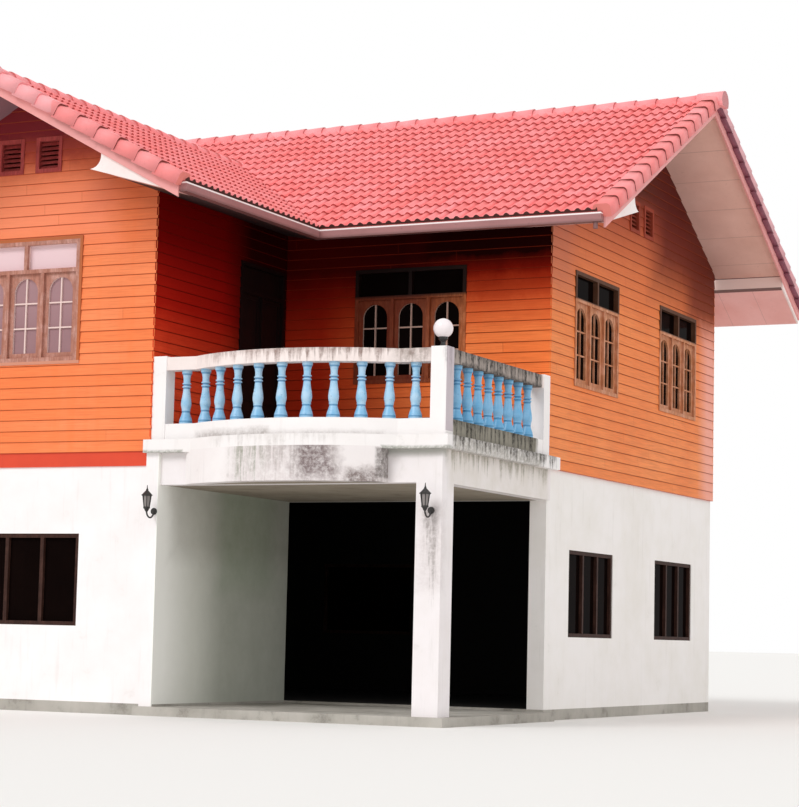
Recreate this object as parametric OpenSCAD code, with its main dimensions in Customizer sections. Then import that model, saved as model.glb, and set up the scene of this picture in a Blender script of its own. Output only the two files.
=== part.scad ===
// Two-storey house with a front wing, a recessed porch and a bowed balcony over it.
// Sizes are millimetres. X runs to the right along the front, Y runs to the back, Z is up.
// The origin lies on the ground, in the middle of the plan.

/* [Plan] */
// Width of the front wing over its outer faces
wing_w = 4200; // [3600:50:5000]
// How far the front wing stands forward of the main wing
wing_d = 3650; // [3200:50:4400]
// Width of the recess, from the side of the front wing to the gable end
main_w = 4250; // [3900:50:5000]
// Depth of the main wing
main_d = 7280; // [6400:20:8400]

/* [Levels] */
// Top of the ground floor slab
floor_z = 150; // [100:10:300]
// Underside of the beams and the ceiling of the porch
beam_z = 3050; // [2850:10:3200]
// Top of the rendered masonry, where the timber storey stands
masonry_z = 3500; // [3400:10:3700]
// Top of the tiles along the eaves
eave_z = 6880; // [6700:10:7100]

/* [Walls] */
// Thickness of the timber walls
wall_t = 120; // [100:5:160]
// Thickness of the rendered masonry walls
masonry_t = 180; // [150:5:220]
// How far the masonry stands back behind the timber walls
masonry_inset = 20; // [10:1:30]
// Height of the skirt board at the foot of the front wing's timber wall
skirt_h = 195; // [150:5:240]
// How far the porch side wall stands out from the timber wall above it
porch_wall_out = 150; // [120:5:220]
// Width of the porch side wall's front end over the foot of the front wall
corner_w = 195; // [180:5:280]
// Width of the masonry pier between the porch doorway and the gable end
pier_w = 250; // [200:10:400]

/* [Floors] */
// Thickness of the upper floor
upper_floor_t = 150; // [120:5:180]
// How far the porch floor lies below the ground floor
porch_drop = 30; // [20:5:60]

/* [Windows] */
// Width of a window over its frame
window_w = 1780; // [1500:10:1900]
// Height of an upper window over its frame
window_h = 1680; // [1560:10:1760]
// Height of a ground floor window over its frame
low_window_h = 1240; // [1100:10:1400]
// Height of the upper sills above the upper floor
sill_h = 1110; // [1000:10:1200]
// Height of the ground sills above the ground floor
low_sill_h = 1010; // [900:10:1200]
// Width of the frame bars seen from the front
frame_w = 55; // [45:1:70]
// Depth of the frames
frame_d = 110; // [95:5:115]
// How far the frames stand out of the walls
frame_out = 30; // [20:1:40]
// Thickness of a casement leaf
leaf_t = 34; // [28:1:40]
// Width of the stiles of a casement leaf
stile_w = 66; // [60:1:90]
// Width of the glazing bars
bar_w = 20; // [14:1:26]
// Height of the fanlight above the casements, glass only
fanlight_h = 340; // [280:5:380]
// Width of the casing round the front window
casing_w = 42; // [30:1:60]
// Thickness of the glass
glass_t = 5; // [4:1:8]
// Width of the balcony door over its frame
door_w = 1300; // [1100:10:1400]
// Gap between the balcony door frame and the inner corner
door_off = 90; // [60:5:200]

/* [Roof] */
// Slope of all the roofs in degrees
pitch = 28.6; // [26:0.1:32]
// Thickness of the tiles with their battens and rafters
roof_t = 90; // [70:5:120]
// Reach of the eaves beyond the walls
eave_over = 1100; // [900:10:1200]
// Reach of the gable ends beyond the walls
gable_over = 1200; // [1000:10:1300]
// Thickness of the boards under the gable overhangs
soffit_t = 25; // [18:1:40]
// Thickness of the tiles where they reach out over the gutters
lip_t = 30; // [24:1:40]
// Slope of the boxed soffit under the eaves in degrees
box_pitch = 16; // [10:1:20]
// Height of the fascia between the tiles and the boxed soffit
fascia_h = 150; // [130:5:180]
// How far the boxed eaves return past the walls at the gable ends
return_l = 20; // [10:5:60]
// Slope of the boxed soffit under the back eave in degrees
back_pitch = 27.5; // [20:0.5:28]
// Height of the fascia along the back
back_fascia_h = 270; // [200:5:290]
// How far the returns of the back eave stop short of the back wall's line
back_return = 110; // [30:5:150]
// Reach of the scalloped end boards past the walls
tip_l = 330; // [260:10:400]
// Radius of the scallop in an end board
scallop_r = 165; // [120:5:200]
// Thickness of the end boards
end_board_t = 25; // [18:1:35]
// Height of the barge boards
barge_h = 180; // [150:5:220]
// How far the barge boards' top lies below the tiles
barge_drop = 70; // [50:5:90]
// Thickness of the barge boards
barge_t = 28; // [20:1:40]
// Visible length of one ridge or verge cap
cap_l = 348; // [280:1:380]
// Radius of a ridge cap at its wide end
cap_r = 140; // [120:5:160]
// Radius of the large cap that closes a ridge end
end_cap_r = 168; // [150:1:190]
// Length of the large end caps
end_cap_l = 430; // [360:10:500]
// How far the large end caps reach out beyond the verge caps
end_cap_out = 65; // [40:5:90]
// How far each cap runs under the next
cap_lap = 40; // [20:5:80]
// Width of a verge cap over the tiles
verge_w = 130; // [110:5:180]
// Height of a verge cap above the tiles
verge_t = 105; // [90:5:130]
// Rounding of a verge cap's edges
verge_r = 55; // [40:1:65]
// How far a verge cap stands out from the barge board
verge_out = 95; // [40:1:120]
// How far a verge cap hangs down below the tiles
verge_drop = 90; // [80:5:120]
// How far the foot of each verge cap is lifted over the one below
verge_lift = 18; // [10:1:24]
// Width of the gutters
gutter_w = 110; // [90:5:130]
// Depth of the gutters
gutter_h = 125; // [100:5:135]
// Gap between the gutters' top and the tiles at the fascia
gutter_drop = 20; // [18:1:30]
// Radius of the gutter outlet
outlet_r = 32; // [25:1:40]
// Thickness of the gutter sheet
gutter_t = 8; // [6:1:10]

/* [Gable vents] */
// Width of a louvred gable vent
vent_w = 430; // [340:10:500]
// Height of a louvred gable vent
vent_h = 500; // [400:10:560]
// Gap between the two vents of a gable
vent_gap = 200; // [140:10:260]
// Height of the vents' feet above the masonry
vent_up = 3900; // [3800:10:4000]

/* [Balcony] */
// How far the balcony front stands forward of the front wing
balcony_out = 0; // [0:5:100]
// How far the balcony posts stand out beyond the gable end
balcony_side = 90; // [60:5:140]
// Width of the bowed part of the balcony
bow_w = 3000; // [2600:20:3100]
// Depth of the bow
bow_d = 455; // [400:5:600]
// Distance of the bow's fascia from the front wing
fascia_from = 575; // [500:5:650]
// Distance of the bow's fascia from the balcony's gable end
fascia_to = 815; // [700:5:900]
// Width of the square posts
post_w = 220; // [200:5:260]
// Height of the posts above the balcony floor
post_h = 1120; // [1060:5:1180]
// Height of the handrail's top above the balcony floor
rail_top_h = 1105; // [1020:5:1150]
// Thickness of the handrail
rail_t = 175; // [140:5:190]
// Width of the handrail
rail_w = 200; // [170:5:200]
// Height of the curb under the balusters
curb_h = 210; // [160:5:260]
// Width of the curb
curb_w = 200; // [180:5:200]
// How far the slab's edge stands out from the posts
deck_lip = 60; // [30:5:80]
// How far the slab's edge runs on past the house corners
deck_wrap = 70; // [50:5:100]
// How far the slab's edge hangs down beside the beams
edge_drop = 25; // [10:5:40]
// Distance of the last post of the side rail from the recess wall
rail_stop = 200; // [120:10:260]
// Width of the beams under the balcony
porch_beam_w = 200; // [160:5:260]
// How far the straight beams stand back under the slab's edge
beam_back = 115; // [90:5:130]
// Thickness of the porch ceiling
ceiling_t = 40; // [30:5:60]
// How far the porch floor runs out past the beams above
porch_lip = 60; // [30:5:150]
// Width of the porch column
column_w = 360; // [300:10:420]
// Depth of the porch column
column_d = 350; // [300:10:420]
// Distance between balusters along the handrail
baluster_pitch = 357; // [330:1:400]
// Radius of a baluster at its foot
baluster_r = 88; // [75:1:92]

/* [Lamps] */
// Height of the globe lamp's foot
globe_foot = 120; // [100:5:150]
// Radius of the globe lamp
globe_r = 127; // [110:1:150]
// Radius of a wall lantern's roof
lantern_r = 82; // [70:1:95]
// Distance of a wall lantern from the wall
lantern_out = 190; // [160:5:230]
// Height of the lanterns' tops above the ground
lantern_z = 3030; // [2900:10:3040]

/* [Hidden] */

e = 1;                        // reach of a cut past the face it opens
far = 30000;                  // longer than the house in any direction

// Wall lines, seen from above
x_left = -(wing_w + main_w) / 2;
x_inner = x_left + wing_w;
x_right = x_inner + main_w;
y_front = -(wing_d + main_d) / 2;
y_recess = y_front + wing_d;
y_back = y_recess + main_d;
house_w = wing_w + main_w;
house_d = wing_d + main_d;
wing_mid = x_left + wing_w / 2;
main_mid = y_recess + main_d / 2;

// Levels
upper_z = masonry_z + upper_floor_t;
sill_z = upper_z + sill_h;
low_sill_z = floor_z + low_sill_h;
porch_z = floor_z - porch_drop;
vent_z = masonry_z + vent_up;

// Roof
rise = tan(pitch);
roof_v = roof_t / cos(pitch);
soffit_v = soffit_t / cos(pitch);
lip_v = lip_t / cos(pitch);
slab_end = gable_over - barge_t;
main_run = main_d / 2 + eave_over;
wing_run = wing_w / 2 + eave_over;
y_eave = y_recess - eave_over;
y_meet = y_eave + wing_run;
fascia_in = gutter_w / 2;
box_out = eave_over - fascia_in;

function top_at(run) = eave_z + run * rise;
function under_at(run) = top_at(run) - roof_v;

// Places the wall frame: X along the wall seen from outside, Y into the house
module at_front() { translate([x_left, y_front, 0]) children(); }
module at_porch_side() { translate([x_inner, y_front, 0]) rotate(90) children(); }
module at_recess() { translate([x_inner, y_recess, 0]) children(); }
module at_right() { translate([x_right, y_recess, 0]) rotate(90) children(); }
module at_back() { translate([x_right, y_back, 0]) rotate(180) children(); }
module at_left() { translate([x_left, y_back, 0]) rotate(270) children(); }

// Pulls a section drawn in depth and height along a wall
module along(length) { rotate([90, 0, 90]) linear_extrude(length) children(); }

// Pulls an elevation drawn in width and height from depth d0 to depth d1
module through(d0, d1) { translate([0, d1, 0]) rotate([90, 0, 0]) linear_extrude(d1 - d0) children(); }

// Space below the roof slabs, as tall as the ridges
module main_gable_2d() {
    polygon([
        [y_eave, 0], [y_eave, under_at(0)], [main_mid, under_at(main_run)],
        [y_back + eave_over, under_at(0)], [y_back + eave_over, 0]
    ]);
}
module wing_gable_2d() {
    polygon([
        [x_left - eave_over, 0], [x_left - eave_over, under_at(0)], [wing_mid, under_at(wing_run)],
        [x_inner + eave_over, under_at(0)], [x_inner + eave_over, 0]
    ]);
}
module under_roof() {
    translate([x_left - gable_over, 0, 0]) along(house_w + 2 * gable_over) main_gable_2d();
    through(y_front - gable_over, y_meet) wing_gable_2d();
}

// Plan of a wall of thickness t whose ends are mitred: 1 outward corner, -1 inward corner
module mitred_plan(length, t, first, last) {
    linear_extrude(far)
        polygon([[0, 0], [length, 0], [length - last * t, t], [first * t, t]]);
}

// Timber wall, cut to the roof afterwards
module timber_wall(length, first, last) {
    intersection() {
        translate([-wall_t, 0, masonry_z]) cube([length + 2 * wall_t, wall_t, far]);
        mitred_plan(length, wall_t, first, last);
    }
}

// Box hole through a wall, in the wall frame
module hole(u, z, w, h) { translate([u, -far / 10, z]) cube([w, far / 5, h]); }

// Windows stand at the same places in both storeys
front_u = [(wing_w - window_w) / 2];
recess_u = [1170];
side_gap = (main_d - 2 * window_w) / 4;
right_u = [side_gap * 0.95, side_gap * 2.95 + window_w];
back_gap = (house_w - 2 * window_w) / 4;
back_u = [back_gap, 3 * back_gap + window_w];
left_gap = (house_d - 3 * window_w) / 6;
left_u = [left_gap, 3 * left_gap + window_w, 5 * left_gap + 2 * window_w];

module window_holes(places) { for (u = places) hole(u, sill_z, window_w, window_h); }
low_front_u = [front_u[0] + 120];
module low_window_holes(places) { for (u = places) hole(u, low_sill_z, window_w, low_window_h); }

// Ground storey
ground_left = x_left + masonry_inset;
ground_right = x_right - masonry_inset;
ground_front = y_front + masonry_inset;
ground_back = y_back - masonry_inset;
porch_side = x_inner + porch_wall_out;
beam_in = wall_t + 30;

module ground_slab() {
    color("gainsboro") {
        linear_extrude(floor_z) polygon([
            [ground_left, ground_front], [porch_side, ground_front], [porch_side, y_recess],
            [ground_right, y_recess], [ground_right, ground_back], [ground_left, ground_back]
        ]);
        translate([porch_side, balcony_front - porch_lip, 0])
            cube([balcony_right + porch_lip - porch_side, y_recess - balcony_front + porch_lip, porch_z]);
        translate([porch_side - corner_w - porch_lip, balcony_front - porch_lip, 0])
            cube([corner_w + 2 * porch_lip, ground_front - balcony_front + porch_lip, porch_z]);
    }
}
module masonry_wall(x, y, turn, length, first, last) {
    translate([x, y, 0]) rotate(turn) intersection() {
        translate([0, 0, floor_z]) cube([length, masonry_t, masonry_z - floor_z]);
        mitred_plan(length, masonry_t, first, last);
    }
}
module ground_front_wall() {
    color("white") difference() {
        masonry_wall(ground_left, ground_front, 0, porch_side - ground_left, 1, 0);
        at_front() low_window_holes(low_front_u);
    }
}
module porch_side_wall() {
    color("honeydew") {
        translate([x_inner, ground_front + masonry_t, 0]) rotate(90)
            along(y_recess - ground_front - masonry_t) polygon([
                [-porch_wall_out, floor_z], [-porch_wall_out, masonry_z], [beam_in, masonry_z],
                [beam_in, beam_z], [masonry_t - porch_wall_out, beam_z], [masonry_t - porch_wall_out, floor_z]
            ]);
        translate([porch_side - corner_w, balcony_front, porch_z])
            cube([corner_w, ground_front - balcony_front, masonry_z - porch_z]);
    }
}
module porch_lintel() {
    color("white") translate([x_inner - beam_in, y_recess, beam_z])
        cube([ground_right - x_inner + beam_in, masonry_t, masonry_z - beam_z]);
}
module porch_pier() {
    color("white") translate([ground_right - pier_w, y_recess, floor_z])
        cube([pier_w, masonry_t, beam_z - floor_z]);
}
module ground_right_wall() {
    color("white") difference() {
        masonry_wall(ground_right, y_recess + masonry_t, 90, ground_back - y_recess - masonry_t, 0, 1);
        at_right() low_window_holes(right_u);
    }
}
module ground_back_wall() {
    color("white") difference() {
        masonry_wall(ground_right, ground_back, 180, ground_right - ground_left, 1, 1);
        at_back() low_window_holes(back_u);
    }
}
module ground_left_wall() {
    color("white") difference() {
        masonry_wall(ground_left, ground_back, 270, ground_back - ground_front, 1, 1);
        at_left() low_window_holes(left_u);
    }
}

// Upper storey
module upper_floor() {
    t = wall_t;
    color("burlywood") translate([0, 0, masonry_z]) linear_extrude(upper_floor_t) polygon([
        [x_left + t, y_front + t], [x_inner - t, y_front + t], [x_inner - t, y_recess + t],
        [x_right - t, y_recess + t], [x_right - t, y_back - t], [x_left + t, y_back - t]
    ]);
}
module front_gable_wall() {
    color("coral") {
        difference() {
            intersection() {
                at_front() timber_wall(wing_w, 1, 1);
                under_roof();
            }
            at_front() window_holes(front_u);
            at_front() vent_holes(wing_w / 2);
        }
        at_front() translate([0, 0, masonry_z - skirt_h])
            cube([wing_w + porch_wall_out - corner_w, masonry_inset, skirt_h]);
    }
}
module balcony_side_wall() {
    color("firebrick") difference() {
        intersection() {
            at_porch_side() timber_wall(wing_d, 1, -1);
            under_roof();
        }
        at_porch_side() hole(door_u, upper_z, door_w, door_h);
    }
}
module balcony_back_wall() {
    color("orangered") difference() {
        intersection() {
            at_recess() timber_wall(main_w, -1, 1);
            under_roof();
        }
        at_recess() window_holes(recess_u);
    }
}
module right_gable_wall() {
    color("coral") difference() {
        intersection() {
            at_right() timber_wall(main_d, 1, 1);
            under_roof();
        }
        at_right() window_holes(right_u);
        at_right() vent_holes(main_d / 2);
    }
}
module back_wall() {
    color("coral") difference() {
        intersection() {
            at_back() timber_wall(house_w, 1, 1);
            under_roof();
        }
        at_back() window_holes(back_u);
    }
}
module left_gable_wall() {
    color("coral") difference() {
        intersection() {
            at_left() timber_wall(house_d, 1, 1);
            under_roof();
        }
        at_left() window_holes(left_u);
        at_left() vent_holes(main_d / 2);
    }
}

// Windows, in the wall frame with the sill's outer corner at the origin
leaf_gap = (window_w - 4 * frame_w) / 3;
pane_w = leaf_gap - 2 * stile_w;
leaf_z0 = frame_w;
leaf_z1 = window_h - 2 * frame_w - fanlight_h;

module arched_pane_2d(z0, z1) {
    r = pane_w / 2;
    translate([0, z0]) square([pane_w, z1 - z0 - r]);
    translate([r, z1 - r]) intersection() {
        circle(r, $fn = 48);
        translate([-r, 0]) square([2 * r, r]);
    }
}
module leaf_2d(z0, z1) {
    difference() {
        translate([0, z0]) square([leaf_gap, z1 - z0]);
        translate([stile_w, 0]) arched_pane_2d(z0 + stile_w, z1 - stile_w);
    }
}
module leaf_bars_2d(z0, z1) {
    h = (z1 - z0 - 2 * stile_w) / 3;
    translate([leaf_gap / 2 - bar_w / 2, z0 + stile_w / 2]) square([bar_w, z1 - z0 - stile_w]);
    for (i = [1, 2])
        translate([stile_w / 2, z0 + stile_w + i * h - bar_w / 2]) square([leaf_gap - stile_w, bar_w]);
}
module casement(z0, z1) {
    for (i = [0:2]) translate([frame_w + i * (leaf_gap + frame_w), 0, 0]) {
        through(frame_in - glass_t - leaf_t, frame_in - glass_t) leaf_2d(z0, z1);
        through(frame_in - glass_t - leaf_t * 0.75, frame_in - glass_t) leaf_bars_2d(z0, z1);
    }
}
frame_in = 50;

module frame_ring(h, d0) {
    through(d0, d0 + frame_d) difference() {
        square([window_w, h]);
        translate([frame_w, frame_w]) square([window_w - 2 * frame_w, h - 2 * frame_w]);
    }
}
module upper_window() {
    frame_ring(window_h, -frame_out);
    through(-frame_out, frame_in - glass_t) {
        for (i = [1, 2]) translate([i * (leaf_gap + frame_w), leaf_z0]) square([frame_w, leaf_z1 - leaf_z0]);
        translate([frame_w / 2, leaf_z1]) square([window_w - frame_w, frame_w]);
        translate([window_w / 2 - frame_w / 2, leaf_z1]) square([frame_w, window_h - leaf_z1 - frame_w / 2]);
    }
    casement(leaf_z0, leaf_z1);
}
module casing() {
    through(-frame_out, 0) difference() {
        translate([-casing_w, -casing_w]) square([window_w + 2 * casing_w, window_h + 2 * casing_w]);
        square([window_w, window_h]);
    }
}
module upper_glass() {
    translate([frame_w, frame_in - glass_t, frame_w])
        cube([window_w - 2 * frame_w, glass_t, window_h - 2 * frame_w]);
}
module low_window() {
    frame_ring(low_window_h, masonry_inset + 15);
    for (i = [1, 2]) translate([i * (leaf_gap + frame_w), masonry_inset + 15, frame_w / 2])
        cube([frame_w, frame_in, low_window_h - frame_w]);
}
module low_glass() {
    translate([frame_w, masonry_inset + 15 + frame_in, frame_w])
        cube([window_w - 2 * frame_w, glass_t, low_window_h - 2 * frame_w]);
}
module front_window() {
    color("rosybrown") at_front() for (u = front_u) translate([u, 0, sill_z]) {
        upper_window();
        casing();
    }
}
module upper_windows(places) { for (u = places) translate([u, 0, sill_z]) upper_window(); }
module balcony_window() { color("sienna") at_recess() upper_windows(recess_u); }
module right_windows() { color("tan") at_right() upper_windows(right_u); }
module back_windows() { color("tan") at_back() upper_windows(back_u); }
module left_windows() { color("tan") at_left() upper_windows(left_u); }
module upper_window_glass() {
    color("lightsteelblue") {
        at_front() for (u = front_u) translate([u, 0, sill_z]) upper_glass();
        at_recess() for (u = recess_u) translate([u, 0, sill_z]) upper_glass();
        at_right() for (u = right_u) translate([u, 0, sill_z]) upper_glass();
        at_back() for (u = back_u) translate([u, 0, sill_z]) upper_glass();
        at_left() for (u = left_u) translate([u, 0, sill_z]) upper_glass();
    }
}
module ground_window_frames() {
    color("rosybrown") {
        at_front() for (u = low_front_u) translate([u, 0, low_sill_z]) low_window();
        at_right() for (u = right_u) translate([u, 0, low_sill_z]) low_window();
        at_back() for (u = back_u) translate([u, 0, low_sill_z]) low_window();
        at_left() for (u = left_u) translate([u, 0, low_sill_z]) low_window();
    }
}
module ground_window_glass() {
    color("dimgray") {
        at_front() for (u = low_front_u) translate([u, 0, low_sill_z]) low_glass();
        at_right() for (u = right_u) translate([u, 0, low_sill_z]) low_glass();
        at_back() for (u = back_u) translate([u, 0, low_sill_z]) low_glass();
        at_left() for (u = left_u) translate([u, 0, low_sill_z]) low_glass();
    }
}

// Balcony door, two leaves with panels under a fanlight
door_h = sill_h + window_h;
door_u = wing_d - door_off - door_w;
door_leaf_w = (door_w - 3 * frame_w) / 2;

module balcony_door() {
    top = door_h - 2 * frame_w - fanlight_h;
    color("saddlebrown") at_porch_side() translate([door_u, 0, upper_z]) {
        through(-frame_out, frame_d - frame_out) difference() {
            square([door_w, door_h]);
            for (i = [0, 1]) translate([frame_w + i * (door_leaf_w + frame_w), frame_w])
                square([door_leaf_w, top - frame_w]);
            translate([frame_w, top + frame_w]) square([door_w - 2 * frame_w, fanlight_h]);
        }
        for (i = [0, 1]) translate([frame_w + i * (door_leaf_w + frame_w), 0, frame_w])
            door_leaf(top - frame_w);
        through(frame_in - glass_t, frame_in) translate([frame_w, top + frame_w])
            square([door_w - 2 * frame_w, fanlight_h]);
    }
}
module door_leaf(h) {
    panel_h = (h - 4 * stile_w) / 3;
    difference() {
        translate([0, frame_in - leaf_t, 0]) cube([door_leaf_w, leaf_t, h]);
        for (i = [0:2]) translate([stile_w, frame_in - leaf_t - e, stile_w + i * (panel_h + stile_w)])
            cube([door_leaf_w - 2 * stile_w, leaf_t / 3 + e, panel_h]);
    }
}

// Louvred vents, two to a gable
module vent_holes(mid) {
    for (s = [-1, 1])
        hole(mid + s * (vent_gap + vent_w) / 2 - vent_w / 2, vent_z, vent_w, vent_h);
}
module vent_pair(mid) {
    for (s = [-1, 1]) translate([mid + s * (vent_gap + vent_w) / 2 - vent_w / 2, 0, vent_z]) {
        through(-frame_out, wall_t) difference() {
            square([vent_w, vent_h]);
            translate([frame_w, frame_w]) square([vent_w - 2 * frame_w, vent_h - 2 * frame_w]);
        }
        count = floor((vent_h - 2 * frame_w) / 65);
        for (i = [0:count - 1])
            translate([frame_w / 2, 0, frame_w + (i + 0.5) * (vent_h - 2 * frame_w) / count])
                along(vent_w - frame_w) polygon([[0, -30], [12, -30], [60, 24], [48, 24]]);
    }
}
module gable_vents() {
    color("firebrick") {
        at_front() vent_pair(wing_w / 2);
        at_right() vent_pair(main_d / 2);
        at_left() vent_pair(main_d / 2);
    }
}

// Balcony
balcony_front = y_front - balcony_out;
beam_face = deck_lip - beam_back;
balcony_right = x_right + balcony_side;
bow_mid = (x_inner + balcony_right) / 2;
bow_r = (bow_w * bow_w / 4 + bow_d * bow_d) / (2 * bow_d);
bow_y = balcony_front - bow_d + bow_r;
deck_z = upper_z;

// Plan of the balcony, grown by o beyond the faces of its posts
module balcony_plan(o) {
    translate([x_inner, balcony_front - o])
        square([balcony_right + o - x_inner, y_recess - balcony_front + o]);
    intersection() {
        translate([bow_mid, bow_y]) circle(bow_r + o, $fn = 180);
        translate([bow_mid - bow_w, balcony_front - o - bow_d - e]) square([2 * bow_w, bow_d + 2 * e]);
    }
}
module clear_of_walls_2d() {
    translate([x_inner, y_front]) square([main_w, wing_d]);
    translate([x_inner, -far]) square([far, y_front + far]);
    translate([x_right, -far]) square([far, y_recess + far]);
}
// Plan of the bow in front of the straight beams, drawn in by o from the slab's edge
module bow_plan_2d(o) {
    intersection() {
        translate([bow_mid, bow_y]) circle(bow_r + deck_lip - o, $fn = 180);
        translate([x_inner + fascia_from, -far])
            square([balcony_right - x_inner - fascia_from - fascia_to, far + balcony_front - beam_face]);
    }
}
module slab_2d() {
    intersection() {
        balcony_plan(deck_lip);
        clear_of_walls_2d();
    }
    translate([x_inner - deck_wrap, balcony_front - deck_lip])
        square([deck_wrap, y_front - balcony_front + deck_lip]);
    translate([x_right, y_recess]) square([balcony_side + deck_lip, deck_wrap]);
}
module balcony_slab() {
    o = beam_face;
    color("whitesmoke") {
        translate([0, 0, masonry_z]) linear_extrude(upper_floor_t) slab_2d();
        translate([0, 0, masonry_z - edge_drop]) linear_extrude(edge_drop) difference() {
            slab_2d();
            bow_plan_2d(0);
            translate([x_inner - far, balcony_front]) square([far + porch_wall_out, far]);
            translate([x_inner, balcony_front - o])
                square([balcony_right + o - x_inner, y_recess - balcony_front + o]);
        }
    }
}
module porch_beams() {
    z = beam_z;
    h = masonry_z - z;
    o = beam_face;
    color("white") {
        translate([porch_side, balcony_front - o, z])
            cube([balcony_right + o - porch_side, porch_beam_w, h]);
        translate([balcony_right + o - porch_beam_w, balcony_front - o, z])
            cube([porch_beam_w, y_recess - balcony_front + o, h]);
    }
}
module bow_beam() {
    color("lightgray") translate([0, 0, beam_z]) linear_extrude(masonry_z - beam_z) difference() {
        bow_plan_2d(0);
        bow_plan_2d(porch_beam_w);
    }
}
module porch_ceiling() {
    o = beam_face;
    color("white") translate([0, 0, beam_z]) linear_extrude(ceiling_t) {
        translate([porch_side, balcony_front - o + porch_beam_w])
            square([balcony_right + o - porch_beam_w - porch_side, y_recess - balcony_front + o - porch_beam_w]);
        bow_plan_2d(porch_beam_w);
    }
}
module porch_column() {
    o = beam_face;
    color("white") translate([balcony_right + o - column_w, balcony_front - o, porch_z])
        cube([column_w, column_d, beam_z - porch_z]);
}
// Band that follows the handrail's line, from distance a to distance b outside it
module rail_band(a, b) {
    intersection() {
        difference() {
            balcony_plan(b - post_w / 2);
            balcony_plan(a - post_w / 2);
        }
        clear_of_walls_2d();
        translate([x_inner + post_w / 2, -far]) square([far, far + y_recess - rail_stop - post_w / 2]);
    }
}
module post_boxes(z, h, grow) {
    for (p = [[x_inner + post_w / 2, balcony_front + post_w / 2],
              [balcony_right - post_w / 2, balcony_front + post_w / 2],
              [balcony_right - post_w / 2, y_recess - rail_stop - post_w / 2]])
        translate([p[0] - post_w / 2 - grow, p[1] - post_w / 2 - grow, z])
            cube([post_w + 2 * grow, post_w + 2 * grow, h]);
}
// The last post is tied to the recess wall by a stub in line with the gable end
module balcony_posts() {
    color("white") {
        post_boxes(deck_z, post_h, 0);
        translate([balcony_right - post_w, y_recess - rail_stop - e, deck_z])
            cube([post_w - balcony_side, rail_stop + e, post_h]);
    }
}
module balcony_curb() {
    color("whitesmoke") difference() {
        translate([0, 0, deck_z]) linear_extrude(curb_h) rail_band(-curb_w / 2, curb_w / 2);
        post_boxes(deck_z - e, curb_h + 2 * e, 0);
    }
}
module balcony_handrail() {
    color("whitesmoke") difference() {
        translate([0, 0, deck_z + rail_top_h - rail_t]) linear_extrude(rail_t)
            rail_band(-rail_w / 2, rail_w / 2);
        post_boxes(deck_z, rail_top_h + e, 0);
    }
}

// Turned baluster: bell foot, vase between two beads, narrow neck and a flared head
baluster_h = rail_top_h - rail_t - curb_h;
module baluster() {
    r = baluster_r;
    h = baluster_h;
    rotate_extrude($fn = 32) {
        polygon([
            [0, 0], [r, 0], [r, h * 0.05], [r * 0.9, h * 0.1], [r * 0.7, h * 0.17], [r * 0.6, h * 0.22],
            [r * 0.66, h * 0.28], [r * 0.78, h * 0.34], [r * 0.8, h * 0.38], [r * 0.74, h * 0.45],
            [r * 0.6, h * 0.55], [r * 0.52, h * 0.64], [r * 0.5, h * 0.72], [r * 0.52, h * 0.84],
            [r * 0.6, h * 0.9], [r * 0.78, h * 0.95], [r * 0.78, h], [0, h]
        ]);
        for (z = [0.25, 0.69, 0.75]) translate([r * 0.54, h * z]) circle(r * 0.13, $fn = 24);
    }
}

// Balusters stand at even steps along the handrail's line
rail_y = balcony_front + post_w / 2;
rail_x = balcony_right - post_w / 2;
rail_r = bow_r - post_w / 2;
half_chord = sqrt(rail_r * rail_r - pow(bow_y - rail_y, 2));
bow_half = asin(half_chord / rail_r);
arc_l = 2 * bow_half * PI / 180 * rail_r;
side_l = bow_mid - half_chord - x_inner - post_w;
front_l = 2 * side_l + arc_l;
front_n = floor(front_l / baluster_pitch + 0.4);
front_start = (front_l - (front_n - 1) * baluster_pitch) / 2;
function front_place(s) =
    s < side_l ? [x_inner + post_w + s, rail_y] :
    s > side_l + arc_l ? [bow_mid + half_chord + (s - side_l - arc_l), rail_y] :
    let (a = -bow_half + (s - side_l) / rail_r * 180 / PI)
        [bow_mid + rail_r * sin(a), bow_y - rail_r * cos(a)];
gable_l = y_recess - rail_stop - balcony_front - 2 * post_w;
side_n = floor(gable_l / baluster_pitch);
side_step = gable_l / (side_n + 1);

module front_balusters() {
    color("skyblue") for (i = [0:front_n - 1]) {
        p = front_place(front_start + i * baluster_pitch);
        translate([p[0], p[1], deck_z + curb_h]) baluster();
    }
}
module side_balusters() {
    color("skyblue") for (i = [1:side_n])
        translate([rail_x, balcony_front + post_w + i * side_step, deck_z + curb_h]) baluster();
}

// Roof slabs, cut along the valleys
x_verge0 = x_left - slab_end;
x_verge1 = x_right + slab_end;
y_verge = y_front - slab_end;
module slope(run, length) {
    along(length) polygon([
        [0, top_at(0) - lip_v], [0, top_at(0)], [run, top_at(run)], [run, under_at(run)],
        [fascia_in, under_at(fascia_in)], [fascia_in, top_at(fascia_in) - lip_v]
    ]);
}
module main_front_plan() {
    linear_extrude(far) polygon([
        [x_verge0, main_mid], [x_verge0, y_eave], [x_left - eave_over, y_eave], [wing_mid, y_meet],
        [x_inner + eave_over, y_eave], [x_verge1, y_eave], [x_verge1, main_mid]
    ]);
}
module main_roof_front() {
    color("salmon") intersection() {
        translate([x_verge0, y_eave, 0]) slope(main_run, x_verge1 - x_verge0);
        main_front_plan();
    }
}
module main_roof_back() {
    color("salmon") translate([x_verge1, y_back + eave_over, 0]) rotate(180)
        slope(main_run, x_verge1 - x_verge0);
}
module wing_roof_right() {
    color("salmon") intersection() {
        translate([x_inner + eave_over, y_verge, 0]) rotate(90) slope(wing_run, y_meet - y_verge);
        linear_extrude(far) polygon([
            [wing_mid, y_verge], [x_inner + eave_over, y_verge], [x_inner + eave_over, y_eave],
            [wing_mid, y_meet]
        ]);
    }
}
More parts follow.
